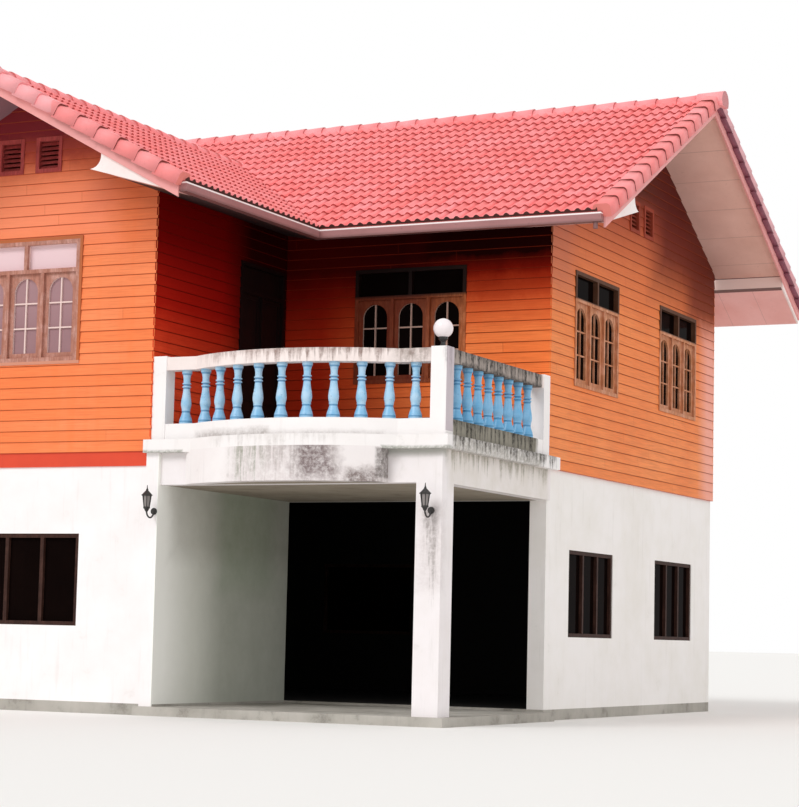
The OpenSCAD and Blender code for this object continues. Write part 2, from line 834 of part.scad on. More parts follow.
module wing_roof_left() {
    color("salmon") intersection() {
        translate([x_left - eave_over, y_meet, 0]) rotate(270) slope(wing_run, y_meet - y_verge);
        linear_extrude(far) polygon([
            [wing_mid, y_verge], [wing_mid, y_meet], [x_left - eave_over, y_eave],
            [x_left - eave_over, y_verge]
        ]);
    }
}

// Ridge caps: lapped half cones on the two slopes, closed by a larger cap over the barge boards at an end
cap_sink = cap_r * 0.3;
verge_reach = barge_t + verge_out;
module ridge_seat(y0, y1, run, drop) {
    through(y0, y1) polygon([
        [-run, top_at(0) - drop], [0, top_at(run) - drop], [run, top_at(0) - drop], [run, -e], [-run, -e]
    ]);
}
module end_seats(run) {
    ridge_seat(-barge_t, 0, run, barge_drop);
    ridge_seat(-verge_reach - end_cap_out - e, -barge_t, run, verge_drop);
}
module end_cap(run) {
    translate([0, -verge_reach - end_cap_out, top_at(run) - cap_sink]) rotate([-90, 0, 0])
        cylinder(h = end_cap_l, r1 = end_cap_r, r2 = end_cap_r * 0.93, $fn = 40);
}
module cap_row(length, run, far_end) {
    full = length + verge_reach * (far_end ? 2 : 1);
    count = round(full / cap_l);
    step = full / count;
    difference() {
        union() {
            translate([0, -verge_reach, top_at(run) - cap_sink]) for (i = [0:count - 1])
                translate([0, i * step, 0]) rotate([-90, 0, 0]) cylinder(
                    h = step + (i < count - 1 ? cap_lap : 0), r1 = cap_r, r2 = cap_r * 0.86, $fn = 40);
            end_cap(run);
            if (far_end) translate([0, length, 0]) rotate(180) end_cap(run);
        }
        ridge_seat(0, length + (far_end ? 0 : e), run, 0);
        end_seats(run);
        if (far_end) translate([0, length, 0]) rotate(180) end_seats(run);
    }
}
module ridge_caps() {
    color("lightcoral") {
        translate([x_verge1, main_mid, 0]) rotate(90) cap_row(x_verge1 - x_verge0, main_run, true);
        difference() {
            translate([wing_mid, y_verge, 0]) cap_row(y_meet - y_verge + cap_r, wing_run, false);
            translate([wing_mid - 2 * cap_r, y_eave, 0]) along(4 * cap_r)
                polygon([[0, 0], [0, top_at(0)], [main_run, top_at(main_run)], [main_run, 0]]);
        }
    }
}

// Verge caps: lapped rounded tiles astride the edge of a slope, with a skirt over the barge board.
// Drawn with X from the slab's end outwards and Y up from the tiles
module verge_cap_2d() {
    lower = verge_lift * 2;
    difference() {
        union() {
            translate([-verge_w, -lower]) square([verge_w + verge_reach, verge_t - verge_r + lower]);
            translate([verge_r - verge_w, 0]) square([verge_w + verge_reach - 2 * verge_r, verge_t]);
            for (x = [verge_r - verge_w, verge_reach - verge_r])
                translate([x, verge_t - verge_r]) circle(verge_r, $fn = 40);
            translate([-e, -verge_drop]) square([verge_reach + e, verge_drop]);
        }
        translate([-verge_w - e, -far]) square([verge_w + e, far - lower]);
    }
}
module verge_row(run) {
    length = run / cos(pitch);
    count = round(length / cap_l);
    step = length / count;
    tilt = atan(verge_lift / step);
    intersection() {
        difference() {
            translate([0, 0, top_at(0)]) rotate([pitch, 0, 0]) for (i = [0:count - 1])
                translate([0, i * step, verge_lift]) rotate([90 - tilt, 0, 0]) mirror([0, 0, 1])
                    linear_extrude(step + cap_lap) verge_cap_2d();
            translate([-verge_w - e, 0, 0]) along(verge_w + e) below_slope_2d(run, 0);
            translate([-e, 0, 0]) along(barge_t + e) below_slope_2d(run, barge_drop);
        }
        translate([-verge_w - e, 0, 0]) cube([verge_w + verge_reach + 2 * e, run - end_cap_r, far]);
    }
}
module below_slope_2d(run, drop) {
    polygon([
        [-far / 10, -e], [-far / 10, top_at(-far / 10) - drop], [run + cap_r, top_at(run + cap_r) - drop],
        [run + cap_r, -e]
    ]);
}
module verge_caps() {
    color("lightcoral") {
        translate([x_verge1, y_eave, 0]) verge_row(main_run);
        intersection() {
            translate([x_verge0, y_eave, 0]) mirror([1, 0, 0]) verge_row(main_run);
            union() {
                main_front_plan();
                translate([x_verge0 - 2 * verge_reach, y_eave - e, 0]) cube([2 * verge_reach, main_run, far]);
            }
        }
        translate([x_verge1, y_back + eave_over, 0]) mirror([0, 1, 0]) verge_row(main_run);
        translate([x_verge0, y_back + eave_over, 0]) rotate(180) verge_row(main_run);
        translate([x_inner + eave_over, y_verge, 0]) rotate(90) mirror([1, 0, 0]) verge_row(wing_run);
        translate([x_left - eave_over, y_verge, 0]) rotate(270) verge_row(wing_run);
    }
}

// Boards under the gable overhangs and barge boards, both along a pair of slopes, by their depth below the tiles
module gable_band(run, drop0, drop1, d0, d1) {
    half = run - fascia_in;
    low = top_at(fascia_in);
    high = top_at(run);
    through(d0, d1) polygon([
        [-half, low - drop0], [0, high - drop0], [half, low - drop0],
        [half, low - drop1], [0, high - drop1], [-half, low - drop1]
    ]);
}
module gable_frames() {
    translate([wing_mid, y_front, 0]) { $run = wing_run; children(); }
    translate([x_right, main_mid, 0]) rotate(90) { $run = main_run; children(); }
    translate([x_left, main_mid, 0]) rotate(270) { $run = main_run; children(); }
}
module barge_boards() {
    color("mistyrose") gable_frames() gable_band($run, barge_drop, barge_drop + barge_h, -gable_over, -slab_end);
}
module gable_soffits() {
    color("linen") difference() {
        gable_frames() gable_band($run, roof_v, roof_v + soffit_v, -slab_end, 0);
        linear_extrude(far) polygon([
            [x_left - eave_over, y_eave - e], [x_left - eave_over, y_eave], [x_left + e, y_recess + e],
            [x_left + e, y_eave - e]
        ]);
    }
}

// Boxed eaves: a wedge between the roof and a flatter soffit, returned at the gables
fascia_top = top_at(fascia_in) - lip_v;
function box_at(d) = fascia_top - fascia_h + d * tan(box_pitch);
function back_at(d) = fascia_top - back_fascia_h + d * tan(back_pitch);
module eave_wedge_2d(z0, z1) {
    polygon([[-box_out, under_at(fascia_in)], [-box_out, z0], [0, z1], [0, under_at(eave_over)]]);
}
module front_wedge_2d() { eave_wedge_2d(box_at(0), box_at(box_out)); }

// Section of a return, from the fascia's foot z0 to the foot z1 of its inner end at depth d
module return_2d(d, z0, z1) {
    polygon([
        [-box_out, under_at(fascia_in) - soffit_v], [-box_out, z0],
        [d, z1], [d, under_at(eave_over + d) - soffit_v]
    ]);
}
module back_end_2d() { return_2d(-back_return, back_at(0), back_at(box_out - back_return)); }
module eave_return() {
    along(slab_end - end_board_t) return_2d(return_l, box_at(0), box_at(box_out + return_l));
}
module front_eave_boxes() {
    color("mistyrose") {
        at_porch_side() intersection() {
            along(wing_d) front_wedge_2d();
            linear_extrude(far) polygon([[0, 0], [wing_d, 0], [wing_d - eave_over, -eave_over], [0, -eave_over]]);
        }
        at_recess() intersection() {
            along(main_w) front_wedge_2d();
            linear_extrude(far) polygon([[0, 0], [eave_over, -eave_over], [main_w, -eave_over], [main_w, 0]]);
        }
        at_porch_side() translate([end_board_t - slab_end, 0, 0]) eave_return();
        at_recess() translate([main_w, 0, 0]) eave_return();
    }
}
module back_eave_boxes() {
    color("mistyrose") {
        at_back() along(house_w) eave_wedge_2d(back_at(0), back_at(box_out));
        at_back() for (u = [end_board_t - slab_end, house_w])
            translate([u, 0, 0]) along(slab_end - end_board_t) back_end_2d();
        at_left() intersection() {
            translate([main_d, 0, 0]) along(wing_d) front_wedge_2d();
            linear_extrude(far) polygon([
                [main_d, 0], [main_d + eave_over, -eave_over], [house_d, -eave_over], [house_d, 0]
            ]);
        }
        at_left() translate([house_d, 0, 0]) eave_return();
    }
}

// End boards: they close the boxed eaves behind the barge boards, those in front with scalloped inner ends
module end_board(d0) {
    tip_z = box_at(box_out + tip_l);
    translate([d0, 0, 0]) along(end_board_t) difference() {
        return_2d(tip_l, box_at(0), tip_z);
        translate([tip_l, tip_z + scallop_r]) circle(scallop_r, $fn = 48);
        translate([tip_l - scallop_r, tip_z + scallop_r]) square(far);
    }
}
module eave_end_boards() {
    color("white") {
        at_porch_side() end_board(-slab_end);
        at_recess() end_board(main_w + slab_end - end_board_t);
        at_back() for (u = [-slab_end, house_w + slab_end - end_board_t])
            translate([u, 0, 0]) along(end_board_t) back_end_2d();
        at_left() end_board(house_d + slab_end - end_board_t);
    }
}

// Box gutters on the fascias, closed at their ends
gutter_top = fascia_top - gutter_drop;
module gutter_2d() {
    translate([-box_out - gutter_w, gutter_top - gutter_h]) difference() {
        square([gutter_w, gutter_h]);
        translate([gutter_t, gutter_t]) square([gutter_w - 2 * gutter_t, gutter_h]);
    }
}
module gutter_end() {
    along(gutter_t) translate([-box_out - gutter_w, gutter_top - gutter_h]) square([gutter_w, gutter_h]);
}
module gutters() {
    reach = box_out + gutter_w;
    color("lavenderblush") {
        intersection() {
            at_porch_side() translate([-slab_end, 0, 0]) along(wing_d + slab_end) gutter_2d();
            linear_extrude(far) polygon([
                [x_inner, y_verge], [x_inner + reach, y_verge], [x_inner + reach, y_recess - reach],
                [x_inner, y_recess]
            ]);
        }
        at_porch_side() translate([-slab_end, 0, 0]) gutter_end();
        intersection() {
            at_recess() along(main_w + slab_end) gutter_2d();
            linear_extrude(far) polygon([
                [x_inner, y_recess], [x_inner + far, y_recess - far], [x_inner + far, y_recess]
            ]);
        }
        at_recess() translate([main_w + slab_end - gutter_t, 0, 0]) gutter_end();
        at_recess() translate([main_w + slab_end - 3 * outlet_r, -box_out - gutter_w / 2, gutter_top - gutter_h - 90])
            cylinder(h = 90, r = outlet_r, $fn = 24);
        at_back() translate([-slab_end, 0, 0]) along(house_w + 2 * slab_end) gutter_2d();
        at_back() translate([-slab_end, 0, 0]) gutter_end();
        at_back() translate([house_w + slab_end - gutter_t, 0, 0]) gutter_end();
        at_left() translate([main_d + eave_over, 0, 0]) along(wing_d - eave_over + slab_end) gutter_2d();
        at_left() translate([house_d + slab_end - gutter_t, 0, 0]) gutter_end();
        at_left() translate([main_d + eave_over, 0, 0]) gutter_end();
    }
}

// Lamps
module globe_lamp() {
    neck = globe_r * 0.44;
    translate([balcony_right - post_w / 2, balcony_front + post_w / 2, deck_z + post_h]) {
        color("ivory") translate([0, 0, globe_foot + sqrt(globe_r * globe_r - neck * neck)])
            sphere(globe_r, $fn = 48);
        color("black") rotate_extrude($fn = 40) polygon([
            [0, 0], [46, 0], [46, 12], [33, 20], [30, globe_foot * 0.5], [neck, globe_foot * 0.75],
            [neck + 6, globe_foot * 0.8], [neck + 6, globe_foot + 4], [neck - 8, globe_foot + 8], [0, globe_foot + 8]
        ]);
    }
}

// Wall lantern: six glazed sides under a pointed roof, held up by a bowed arm on a round plate
module lantern() {
    r = lantern_r;
    tube_r = r * 0.13;
    plate_in = tube_r + 3;
    arm_r = (lantern_out - plate_in) / 2;
    roof_z = lantern_z - r * 1.7;
    base_z = lantern_z - r * 3.9;
    arm_z = base_z - r * 0.2;
    translate([0, -lantern_out, 0]) {
        translate([0, 0, lantern_z - r * 0.9]) cylinder(h = r * 0.9, r1 = r * 0.14, r2 = r * 0.05, $fn = 24);
        translate([0, 0, lantern_z - r * 0.75]) sphere(r * 0.2, $fn = 24);
        translate([0, 0, roof_z + r * 0.15]) cylinder(h = r * 0.7, r1 = r * 0.95, r2 = r * 0.22, $fn = 6);
        translate([0, 0, roof_z]) cylinder(h = r * 0.15, r = r, $fn = 6);
        translate([0, 0, base_z + r * 0.3]) cylinder(h = r * 1.92, r1 = r * 0.46, r2 = r * 0.7, $fn = 6);
        for (i = [0:5]) rotate(i * 60) translate([r * 0.5, 0, base_z + r * 0.35])
            rotate([0, atan(0.27 / 1.85), 0]) cylinder(h = r * 1.89, r = r * 0.07, $fn = 8);
        translate([0, 0, base_z + r * 0.15]) cylinder(h = r * 0.25, r = r * 0.62, $fn = 6);
        translate([0, 0, base_z - r * 0.35]) cylinder(h = r * 0.5, r1 = r * 0.2, r2 = r * 0.45, $fn = 24);
    }
    translate([0, -plate_in - arm_r, arm_z]) rotate([90, 0, 90]) rotate(180)
        rotate_extrude(angle = 180, $fn = 48) translate([arm_r, 0]) circle(tube_r, $fn = 24);
    translate([0, 0, arm_z]) rotate([90, 0, 0]) cylinder(h = 14, r = r * 0.55, $fn = 32);
}
module wall_lanterns() {
    o = beam_face;
    color("black") {
        translate([porch_side - corner_w / 4, balcony_front, 0]) lantern();
        translate([balcony_right + o - column_w * 0.4, balcony_front - o, 0]) lantern();
    }
}

ground_slab();
ground_front_wall();
porch_side_wall();
porch_lintel();
porch_pier();
ground_right_wall();
ground_back_wall();
ground_left_wall();
upper_floor();
front_gable_wall();
balcony_side_wall();
balcony_back_wall();
right_gable_wall();
back_wall();
left_gable_wall();
ground_window_frames();
ground_window_glass();
front_window();
balcony_window();
right_windows();
back_windows();
left_windows();
upper_window_glass();
balcony_door();
gable_vents();
porch_column();
porch_beams();
bow_beam();
porch_ceiling();
balcony_slab();
balcony_curb();
balcony_posts();
balcony_handrail();
front_balusters();
side_balusters();
main_roof_front();
main_roof_back();
wing_roof_left();
wing_roof_right();
ridge_caps();
verge_caps();
barge_boards();
gable_soffits();
front_eave_boxes();
back_eave_boxes();
eave_end_boards();
gutters();
globe_lamp();
wall_lanterns();
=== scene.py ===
import bpy, bmesh, math
from mathutils import Matrix, Vector


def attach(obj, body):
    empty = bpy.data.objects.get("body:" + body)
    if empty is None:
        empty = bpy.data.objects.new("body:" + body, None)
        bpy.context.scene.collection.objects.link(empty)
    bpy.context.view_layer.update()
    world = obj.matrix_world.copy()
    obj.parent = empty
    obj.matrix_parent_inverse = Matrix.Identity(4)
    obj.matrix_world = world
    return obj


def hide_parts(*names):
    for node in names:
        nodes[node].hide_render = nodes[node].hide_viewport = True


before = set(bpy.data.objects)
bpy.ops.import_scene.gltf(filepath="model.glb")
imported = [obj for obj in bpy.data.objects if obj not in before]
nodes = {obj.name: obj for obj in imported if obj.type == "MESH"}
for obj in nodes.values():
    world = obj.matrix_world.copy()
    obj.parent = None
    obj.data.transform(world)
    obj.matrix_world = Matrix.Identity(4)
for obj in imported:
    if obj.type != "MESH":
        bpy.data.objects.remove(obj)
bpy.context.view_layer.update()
scene = bpy.context.scene
print("frame loaded:", len(nodes), "nodes")

# The lines of the house that the pieces are set out from, in metres
house = {
    "left": -4.225, "inner": -0.025, "right": 4.225,
    "front": -5.465, "recess": -1.815, "back": 5.465,
    "timber": 3.5, "deck": 3.65, "eave": 6.88, "boxTop": 7.0255,
    "pitch": math.radians(28.6), "eaveOver": 1.1, "slabEnd": 1.172, "soffitDepth": 0.115,
}
rise = math.tan(house["pitch"])
wingMid = (house["left"] + house["inner"]) / 2
mainMid = (house["recess"] + house["back"]) / 2
wingRun = (house["inner"] - house["left"]) / 2 + house["eaveOver"]
mainRun = (house["back"] - house["recess"]) / 2 + house["eaveOver"]
eaveLine = house["recess"] - house["eaveOver"]
meetLine = eaveLine + wingRun  # where the wing's ridge runs into the main slope
vergeLeft, vergeRight = house["left"] - house["slabEnd"], house["right"] + house["slabEnd"]
vergeFront = house["front"] - house["slabEnd"]
far = 20  # beyond the house on any side


# Small tools for nodes and pieces

def hexColour(text):
    parts = [int(text[i:i + 2], 16) / 255 for i in (0, 2, 4)]
    return (*[c / 12.92 if c <= 0.04045 else ((c + 0.055) / 1.055) ** 2.4 for c in parts], 1.0)


def addNode(tree, kind, inputs=(), stops=None, **settings):
    # adds a node and gives back its outputs: "Math ADD" is a Math node set to ADD, the inputs go by
    # name or in order, and a value for a colour socket is written as hex
    kind, *operation = kind.split()
    node = tree.nodes.new(kind if "Node" in kind else "ShaderNode" + kind)
    if operation:
        node.operation = operation[0]
    for name, value in settings.items():
        setattr(node, name, value)
    for key, value in inputs.items() if isinstance(inputs, dict) else enumerate(inputs):
        socket = node.inputs[key]
        if isinstance(value, bpy.types.NodeSocket):
            tree.links.new(value, socket)
        else:
            socket.default_value = hexColour(value) if socket.type == "RGBA" else value
    if stops:  # colour ramp stops as (position, grey)
        elements = node.color_ramp.elements
        while len(elements) < len(stops):
            elements.new(0.5)
        for element, (position, grey) in zip(elements, stops):
            element.position = position
            element.color = (grey, grey, grey, 1)
    return node.outputs


def startFinish(name):
    material = bpy.data.materials.new(name)
    material.use_nodes = True
    tree = material.node_tree
    tree.nodes.clear()
    return material, tree, addNode(tree, "TexCoord")["Object"]


def endFinish(tree, colour, roughness, bump=None, gloss=None):
    inputs = {"Base Color": colour, "Roughness": roughness}
    if bump:
        height, strength, depth = bump
        bump = addNode(tree, "Bump", {"Height": height, "Strength": strength, "Distance": depth})
        inputs["Normal"] = bump[0]
    if gloss is not None:
        inputs["Specular IOR Level"] = gloss
    addNode(tree, "OutputMaterial", {"Surface": addNode(tree, "BsdfPrincipled", inputs)[0]})


def startTree(name, sockets):
    tree = bpy.data.node_groups.new(name, "GeometryNodeTree")
    tree.interface.new_socket(name="Geometry", in_out="OUTPUT", socket_type="NodeSocketGeometry")
    for label, kind in sockets.items():
        tree.interface.new_socket(name=label, in_out="INPUT", socket_type="NodeSocket" + kind)
    return tree, tree.nodes.new("NodeGroupInput").outputs, tree.nodes.new("NodeGroupOutput").inputs


def growPiece(name, tree, values):
    piece = bpy.data.objects.new(name, bpy.data.meshes.new(name))
    scene.collection.objects.link(piece)
    modifier = piece.modifiers.new("grow", "NODES")
    modifier.node_group = tree
    for item in tree.interface.items_tree:  # inputs are set by the socket's identifier
        if item.item_type == "SOCKET" and item.in_out == "INPUT":
            modifier[item.identifier] = values[item.name]
    graph = bpy.context.evaluated_depsgraph_get()
    mesh = bpy.data.meshes.new_from_object(piece.evaluated_get(graph))
    piece.modifiers.remove(modifier)
    piece.data = mesh
    mesh.name = name
    return piece


def meshPiece(name, vertices, faces, material=None):
    mesh = bpy.data.meshes.new(name)
    mesh.from_pydata(vertices, [], faces)
    if material:
        mesh.materials.append(material)
    piece = bpy.data.objects.new(name, mesh)
    scene.collection.objects.link(piece)
    return piece


def turnOutward(piece):
    tidy = bmesh.new()
    tidy.from_mesh(piece.data)
    bmesh.ops.recalc_face_normals(tidy, faces=tidy.faces)
    tidy.to_mesh(piece.data)
    tidy.free()
    return piece


def joinPieces(name, pieces):
    with bpy.context.temp_override(active_object=pieces[0], selected_editable_objects=pieces):
        bpy.ops.object.join()
    pieces[0].name = pieces[0].data.name = name
    return pieces[0]


def dropObjects(*pieces):
    for piece in pieces:
        bpy.data.objects.remove(piece)


def setFinish(material, *names):
    for name in names:
        slots = nodes[name].material_slots
        if not slots:
            nodes[name].data.materials.append(material)
        for slot in slots:
            slot.material = material


# Camera at the photograph's place

cameraView = {
    "place": (16.317, -31.493, 1.083), "yaw": 25.923, "pitch": 5.852, "roll": 1.308,
    "focalPixels": 2295.3, "longSide": 807, "sensor": 36, "clipEnd": 500,
}
yaw, tilt, roll = (math.radians(cameraView[k]) for k in ("yaw", "pitch", "roll"))
ahead = Vector((-math.sin(yaw) * math.cos(tilt), math.cos(yaw) * math.cos(tilt), math.sin(tilt)))
aside = Vector((math.cos(yaw), math.sin(yaw), 0))
above = aside.cross(ahead)
right = math.cos(roll) * aside + math.sin(roll) * above
up = -math.sin(roll) * aside + math.cos(roll) * above
camera = bpy.data.objects.new("streetCamera", bpy.data.cameras.new("streetCamera"))
scene.collection.objects.link(camera)
camera.data.sensor_width = cameraView["sensor"]
camera.data.lens = cameraView["sensor"] * cameraView["focalPixels"] / cameraView["longSide"]
camera.data.clip_end = cameraView["clipEnd"]
turned = Matrix((right, up, -ahead)).transposed().to_4x4()
camera.matrix_world = Matrix.Translation(cameraView["place"]) @ turned
scene.camera = camera

# Soft daylight, white behind

daylight = {
    "ambient": 0.7,
    "keySun": {"power": 1.25, "spread": 24, "azimuth": -22, "elevation": 38},
    "fillSun": {"power": 0.47, "spread": 60, "azimuth": 70, "elevation": 35},
}
scene.world = bpy.data.worlds.new("paleSky")
scene.world.use_nodes = True
sky = scene.world.node_tree
sky.nodes.clear()
rays = addNode(sky, "LightPath")
seen = addNode(sky, "Math MAXIMUM", (rays["Is Camera Ray"], rays["Is Glossy Ray"]))[0]
seen = addNode(sky, "Math MAXIMUM", (seen, rays["Is Transmission Ray"]))[0]
strength = addNode(sky, "MapRange", {"Value": seen, "To Min": daylight["ambient"], "To Max": 1.0})[0]
glow = addNode(sky, "Background", {"Color": "ffffff", "Strength": strength})[0]
addNode(sky, "OutputWorld", {"Surface": glow})
for name in ("keySun", "fillSun"):
    lamp = bpy.data.lights.new(name, "SUN")
    lamp.energy = daylight[name]["power"]
    lamp.angle = math.radians(daylight[name]["spread"])
    sun = bpy.data.objects.new(name, lamp)
    sun.rotation_euler = (
        math.radians(90 - daylight[name]["elevation"]), 0, math.radians(daylight[name]["azimuth"]))
    scene.collection.objects.link(sun)
scene.view_settings.view_transform = "Standard"

floorSize = {"side": 250, "near": -60, "far": 400}
paleFloor, tree, place = startFinish("paleStudioFloor")  # plain, so that only the shadow shows
endFinish(tree, "f1efec", 0.9)
floor = meshPiece("studioFloor", [
    (-floorSize["side"], floorSize["near"], 0), (floorSize["side"], floorSize["near"], 0),
    (floorSize["side"], floorSize["far"], 0), (-floorSize["side"], floorSize["far"], 0),
], [(0, 1, 2, 3)], paleFloor)
print("camera, light and floor done")


# What the finishes share

def noiseMask(tree, place, scale, detail, roughness, stops):
    # noise cut between two stops: marks about 1 m across at a scale of 1 and 100 mm at 10, drawn out
    # where the scale has three parts
    if isinstance(scale, tuple):
        place, scale = addNode(tree, "Mapping", {"Vector": place, "Scale": scale})[0], 1.0
    noise = addNode(tree, "TexNoise", {
        "Vector": place, "Scale": scale, "Detail": detail, "Roughness": roughness})[0]
    return addNode(tree, "ValToRGB", (noise,), stops)[0]


def overlay(tree, colour, *layers):
    # lays each tone over the colour as far as its mask lets it
    for mask, tone in layers:
        colour = addNode(tree, "Mix", {0: mask, 6: colour, 7: tone}, data_type="RGBA")[2]
    return colour


def stain(low, high, soft, amount, tone, ragged=0.25, **more):  # a box of another tone
    return {"low": low, "high": high, "soft": soft, "amount": amount, "tone": tone, "ragged": ragged, **more}


def band(low, high, soft, amount, tone):  # with straight edges
    return stain(low, high, soft, amount, tone, 0.0)


def mould(low, high, soft, amount, tone, ragged=0.25):  # broken up
    return stain(low, high, soft, amount, tone, ragged, patchy=True)


def drips(low, high, soft, amount, tone, edge, run, ragged=0.25):  # runs of dirt that hang from an edge
    return stain(low, high, soft, amount, tone, ragged, patchy=True, edge=edge, run=run)


def stained(tree, place, colour, stains):
    # lays soft-edged boxes of another tone over a colour: damp, worn, shaded or dirty areas
    if not stains:
        return colour
    wander = addNode(tree, "TexNoise", {"Vector": place, "Scale": 3.5, "Detail": 6, "Roughness": 0.65})[1]
    wander = addNode(tree, "VectorMath SUBTRACT", (wander, (0.5, 0.5, 0.5)))[0]
    runs = addNode(tree, "Mapping", {"Vector": place, "Scale": (13, 13, 0.9)})[0]
    runs = addNode(tree, "TexNoise", {"Vector": runs, "Scale": 1.0, "Detail": 9, "Roughness": 0.68})[0]
    broken = addNode(tree, "TexNoise", {"Vector": place, "Scale": 17, "Detail": 7, "Roughness": 0.75})[0]
    broken = addNode(tree, "MapRange", {
        "Value": broken, "From Min": 0.38, "From Max": 0.58, "To Min": 0.4})[0]
    height = addNode(tree, "SeparateXYZ", (place,))["Z"]
    for mark in stains:
        reach = addNode(tree, "VectorMath SCALE", {0: wander, "Scale": mark["ragged"]})[0]
        spot = addNode(tree, "VectorMath ADD", (place, reach))[0]
        low = addNode(tree, "VectorMath SUBTRACT", (spot, mark["low"]))[0]
        high = addNode(tree, "VectorMath SUBTRACT", (mark["high"], spot))[0]
        inside = addNode(tree, "VectorMath MINIMUM", (low, high))[0]
        inside = addNode(tree, "SeparateXYZ", (inside,))
        least = addNode(tree, "Math MINIMUM", (inside[0], inside[1]))[0]
        least = addNode(tree, "Math MINIMUM", (least, inside[2]))[0]
        half = mark["soft"] / 2
        amount = addNode(tree, "MapRange", {
            "Value": least, "From Min": -half, "From Max": half, "To Max": mark["amount"]})[0]
        if "edge" in mark:  # the runs are of unequal length
            edge, run = mark["edge"], mark["run"]
            hang = addNode(tree, "MapRange", {
                "Value": runs, "From Min": 0.4, "From Max": 0.6, "To Max": run})[0]
            hang = addNode(tree, "Math ADD", (hang, height))[0]
            hang = addNode(tree, "MapRange", {
                "Value": hang, "From Min": edge - 0.04, "From Max": edge + 0.55 * run})[0]
            amount = addNode(tree, "Math MULTIPLY", (amount, hang))[0]
        if "patchy" in mark:
            amount = addNode(tree, "Math MULTIPLY", (amount, broken))[0]
        colour = overlay(tree, colour, (amount, mark["tone"]))
    return colour


# Painted timber walls

siding = {
    "exposure": 0.15, "boardLength": 5.4, "gap": 0.0004, "lowerEdge": 0.02, "upperEdge": 0.006,
    "bed": 0.002, "cornerRun": 0.016, "top": 9.4,
}


def boardFinish(name, look, stains):
    # Gloss oil paint on lapped boards: flat strips that differ a little, dirt along each lap
    material, tree, place = startFinish(name)
    axes = addNode(tree, "SeparateXYZ", (place,))
    along = addNode(tree, "Math ADD", (axes["X"], axes["Y"]))[0]
    course = addNode(tree, "Math ADD", (axes["Z"], -look["foot"]))[0]
    course = addNode(tree, "Math DIVIDE", (course, siding["exposure"]))[0]
    row = addNode(tree, "Math FLOOR", (course,))[0]
    inRow = addNode(tree, "Math FRACT", (course,))[0]
    # the ends of the boards are moved on by a different length in each row
    start = addNode(tree, "TexWhiteNoise", {"W": row}, noise_dimensions="1D")["Value"]
    start = addNode(tree, "Math MULTIPLY", (start, siding["boardLength"]))[0]
    run = addNode(tree, "Math ADD", (along, start))[0]
    run = addNode(tree, "Math DIVIDE", (run, siding["boardLength"]))[0]
    board = addNode(tree, "Math FLOOR", (run,))[0]
    inBoard = addNode(tree, "Math FRACT", (run,))[0]
    number = addNode(tree, "CombineXYZ", (row, board))[0]
    tone = addNode(tree, "TexWhiteNoise", {"Vector": number}, noise_dimensions="2D")["Value"]
    joint = addNode(tree, "ValToRGB", (inBoard,), [(0, 0.3), (0.0009, 0.0)])[0]
    lap = addNode(tree, "ValToRGB", (inRow,), [
        (0, 0.9), (look["lapDirt"], 0.0), (0.93, 0.0), (1, 0.6)])[0]
    gap = addNode(tree, "Math MAXIMUM", (lap, joint))[0]
    fade = noiseMask(tree, place, 0.55, 4, 0.5, [(0.35, 0.0), (0.7, 0.7)])
    grain = addNode(tree, "Mapping", {"Vector": place, "Scale": (2.2, 2.2, 55)})[0]
    grain = addNode(tree, "TexNoise", {"Vector": grain, "Scale": 1.0, "Detail": 5, "Roughness": 0.6})[0]
    brushed = addNode(tree, "ValToRGB", (grain,), [(0.3, 0.28), (0.6, 0.0)])[0]
    streak = noiseMask(tree, place, (5, 5, 0.35), 3, 0.5, [(0.5, 0.0), (0.8, 0.5)])
    colour = overlay(
        tree, look["paint"], (tone, look["faded"]), (fade, look["deep"]), (brushed, look["dirt"]),
        (streak, look["deep"]))
    colour = overlay(tree, stained(tree, place, colour, stains), (gap, look["dirt"]))
    endFinish(tree, colour, look["roughness"], (grain, 0.25, 0.002), look["gloss"])
    return material


outerBoards = {"foot": house["timber"], "lapDirt": 0.035, "roughness": 0.5, "gloss": 0.15}
recessBoards = {"foot": house["deck"], "lapDirt": 0.04, "roughness": 0.6, "gloss": 0.04}
frontBoards = boardFinish("orangePaintedFrontBoards", {  # even and bright, with painted shade up in the gable under its overhang
    **outerBoards, "paint": "fb8850", "faded": "fd9460", "deep": "f67c40", "dirt": "b04e2b",
}, [
    stain((-far, -far, 6.4), (-0.7, far, 7.4), 0.5, 0.6, "ff9672"),
    stain((-0.55, -far, 6.2), (far, far, 7.4), 0.8, 0.28, "d4664a"),
    stain((-1.0, -far, 6.95), (far, far, far), 0.5, 0.35, "c0543c"),
    stain((-far, -far, 7.45), (far, far, far), 0.45, 0.75, "b8443a"),
    stain((-far, -far, 7.74), (far, far, far), 0.45, 0.9, "7c2230"),
])
sideBoards = boardFinish("orangePaintedSideBoards", {  # painted shade under the roof's overhang, deepest under the high rear slope; faded at the corner
    **outerBoards, "paint": "f58a46", "faded": "f99654", "deep": "ee7d3a", "dirt": "94401f",
}, [
    stain((-far, -far, 6.25), (far, far, far), 0.9, 0.55, "c8653c"),
    stain((-far, -far, 7.2), (far, far, far), 0.9, 0.8, "8e2a1e"),
    stain((-far, -far, 7.85), (far, far, far), 0.5, 0.85, "3a0806"),
    stain((-far, 2.5, 6.8), (far, far, far), 1.0, 0.85, "580a04"),
    stain((-far, 4.1, 6.35), (far, far, far), 0.6, 0.8, "641c0c"),
    stain((-far, -far, 5.95), (far, -1.0, far), 0.5, 0.35, "a8685c"),
    stain((0, 4.9, 0), (far, far, 6.3), 0.5, 0.7, "f4b0a4"),
])
# painted shade under the eave along the top of the back wall
backBoards = boardFinish("orangePaintedBackBoards", {
    **outerBoards, "paint": "f58a46", "faded": "f99654", "deep": "ee7d3a", "dirt": "8e4022",
}, [stain((-far, -far, 6.5), (far, far, far), 0.8, 0.6, "8c3c28")])
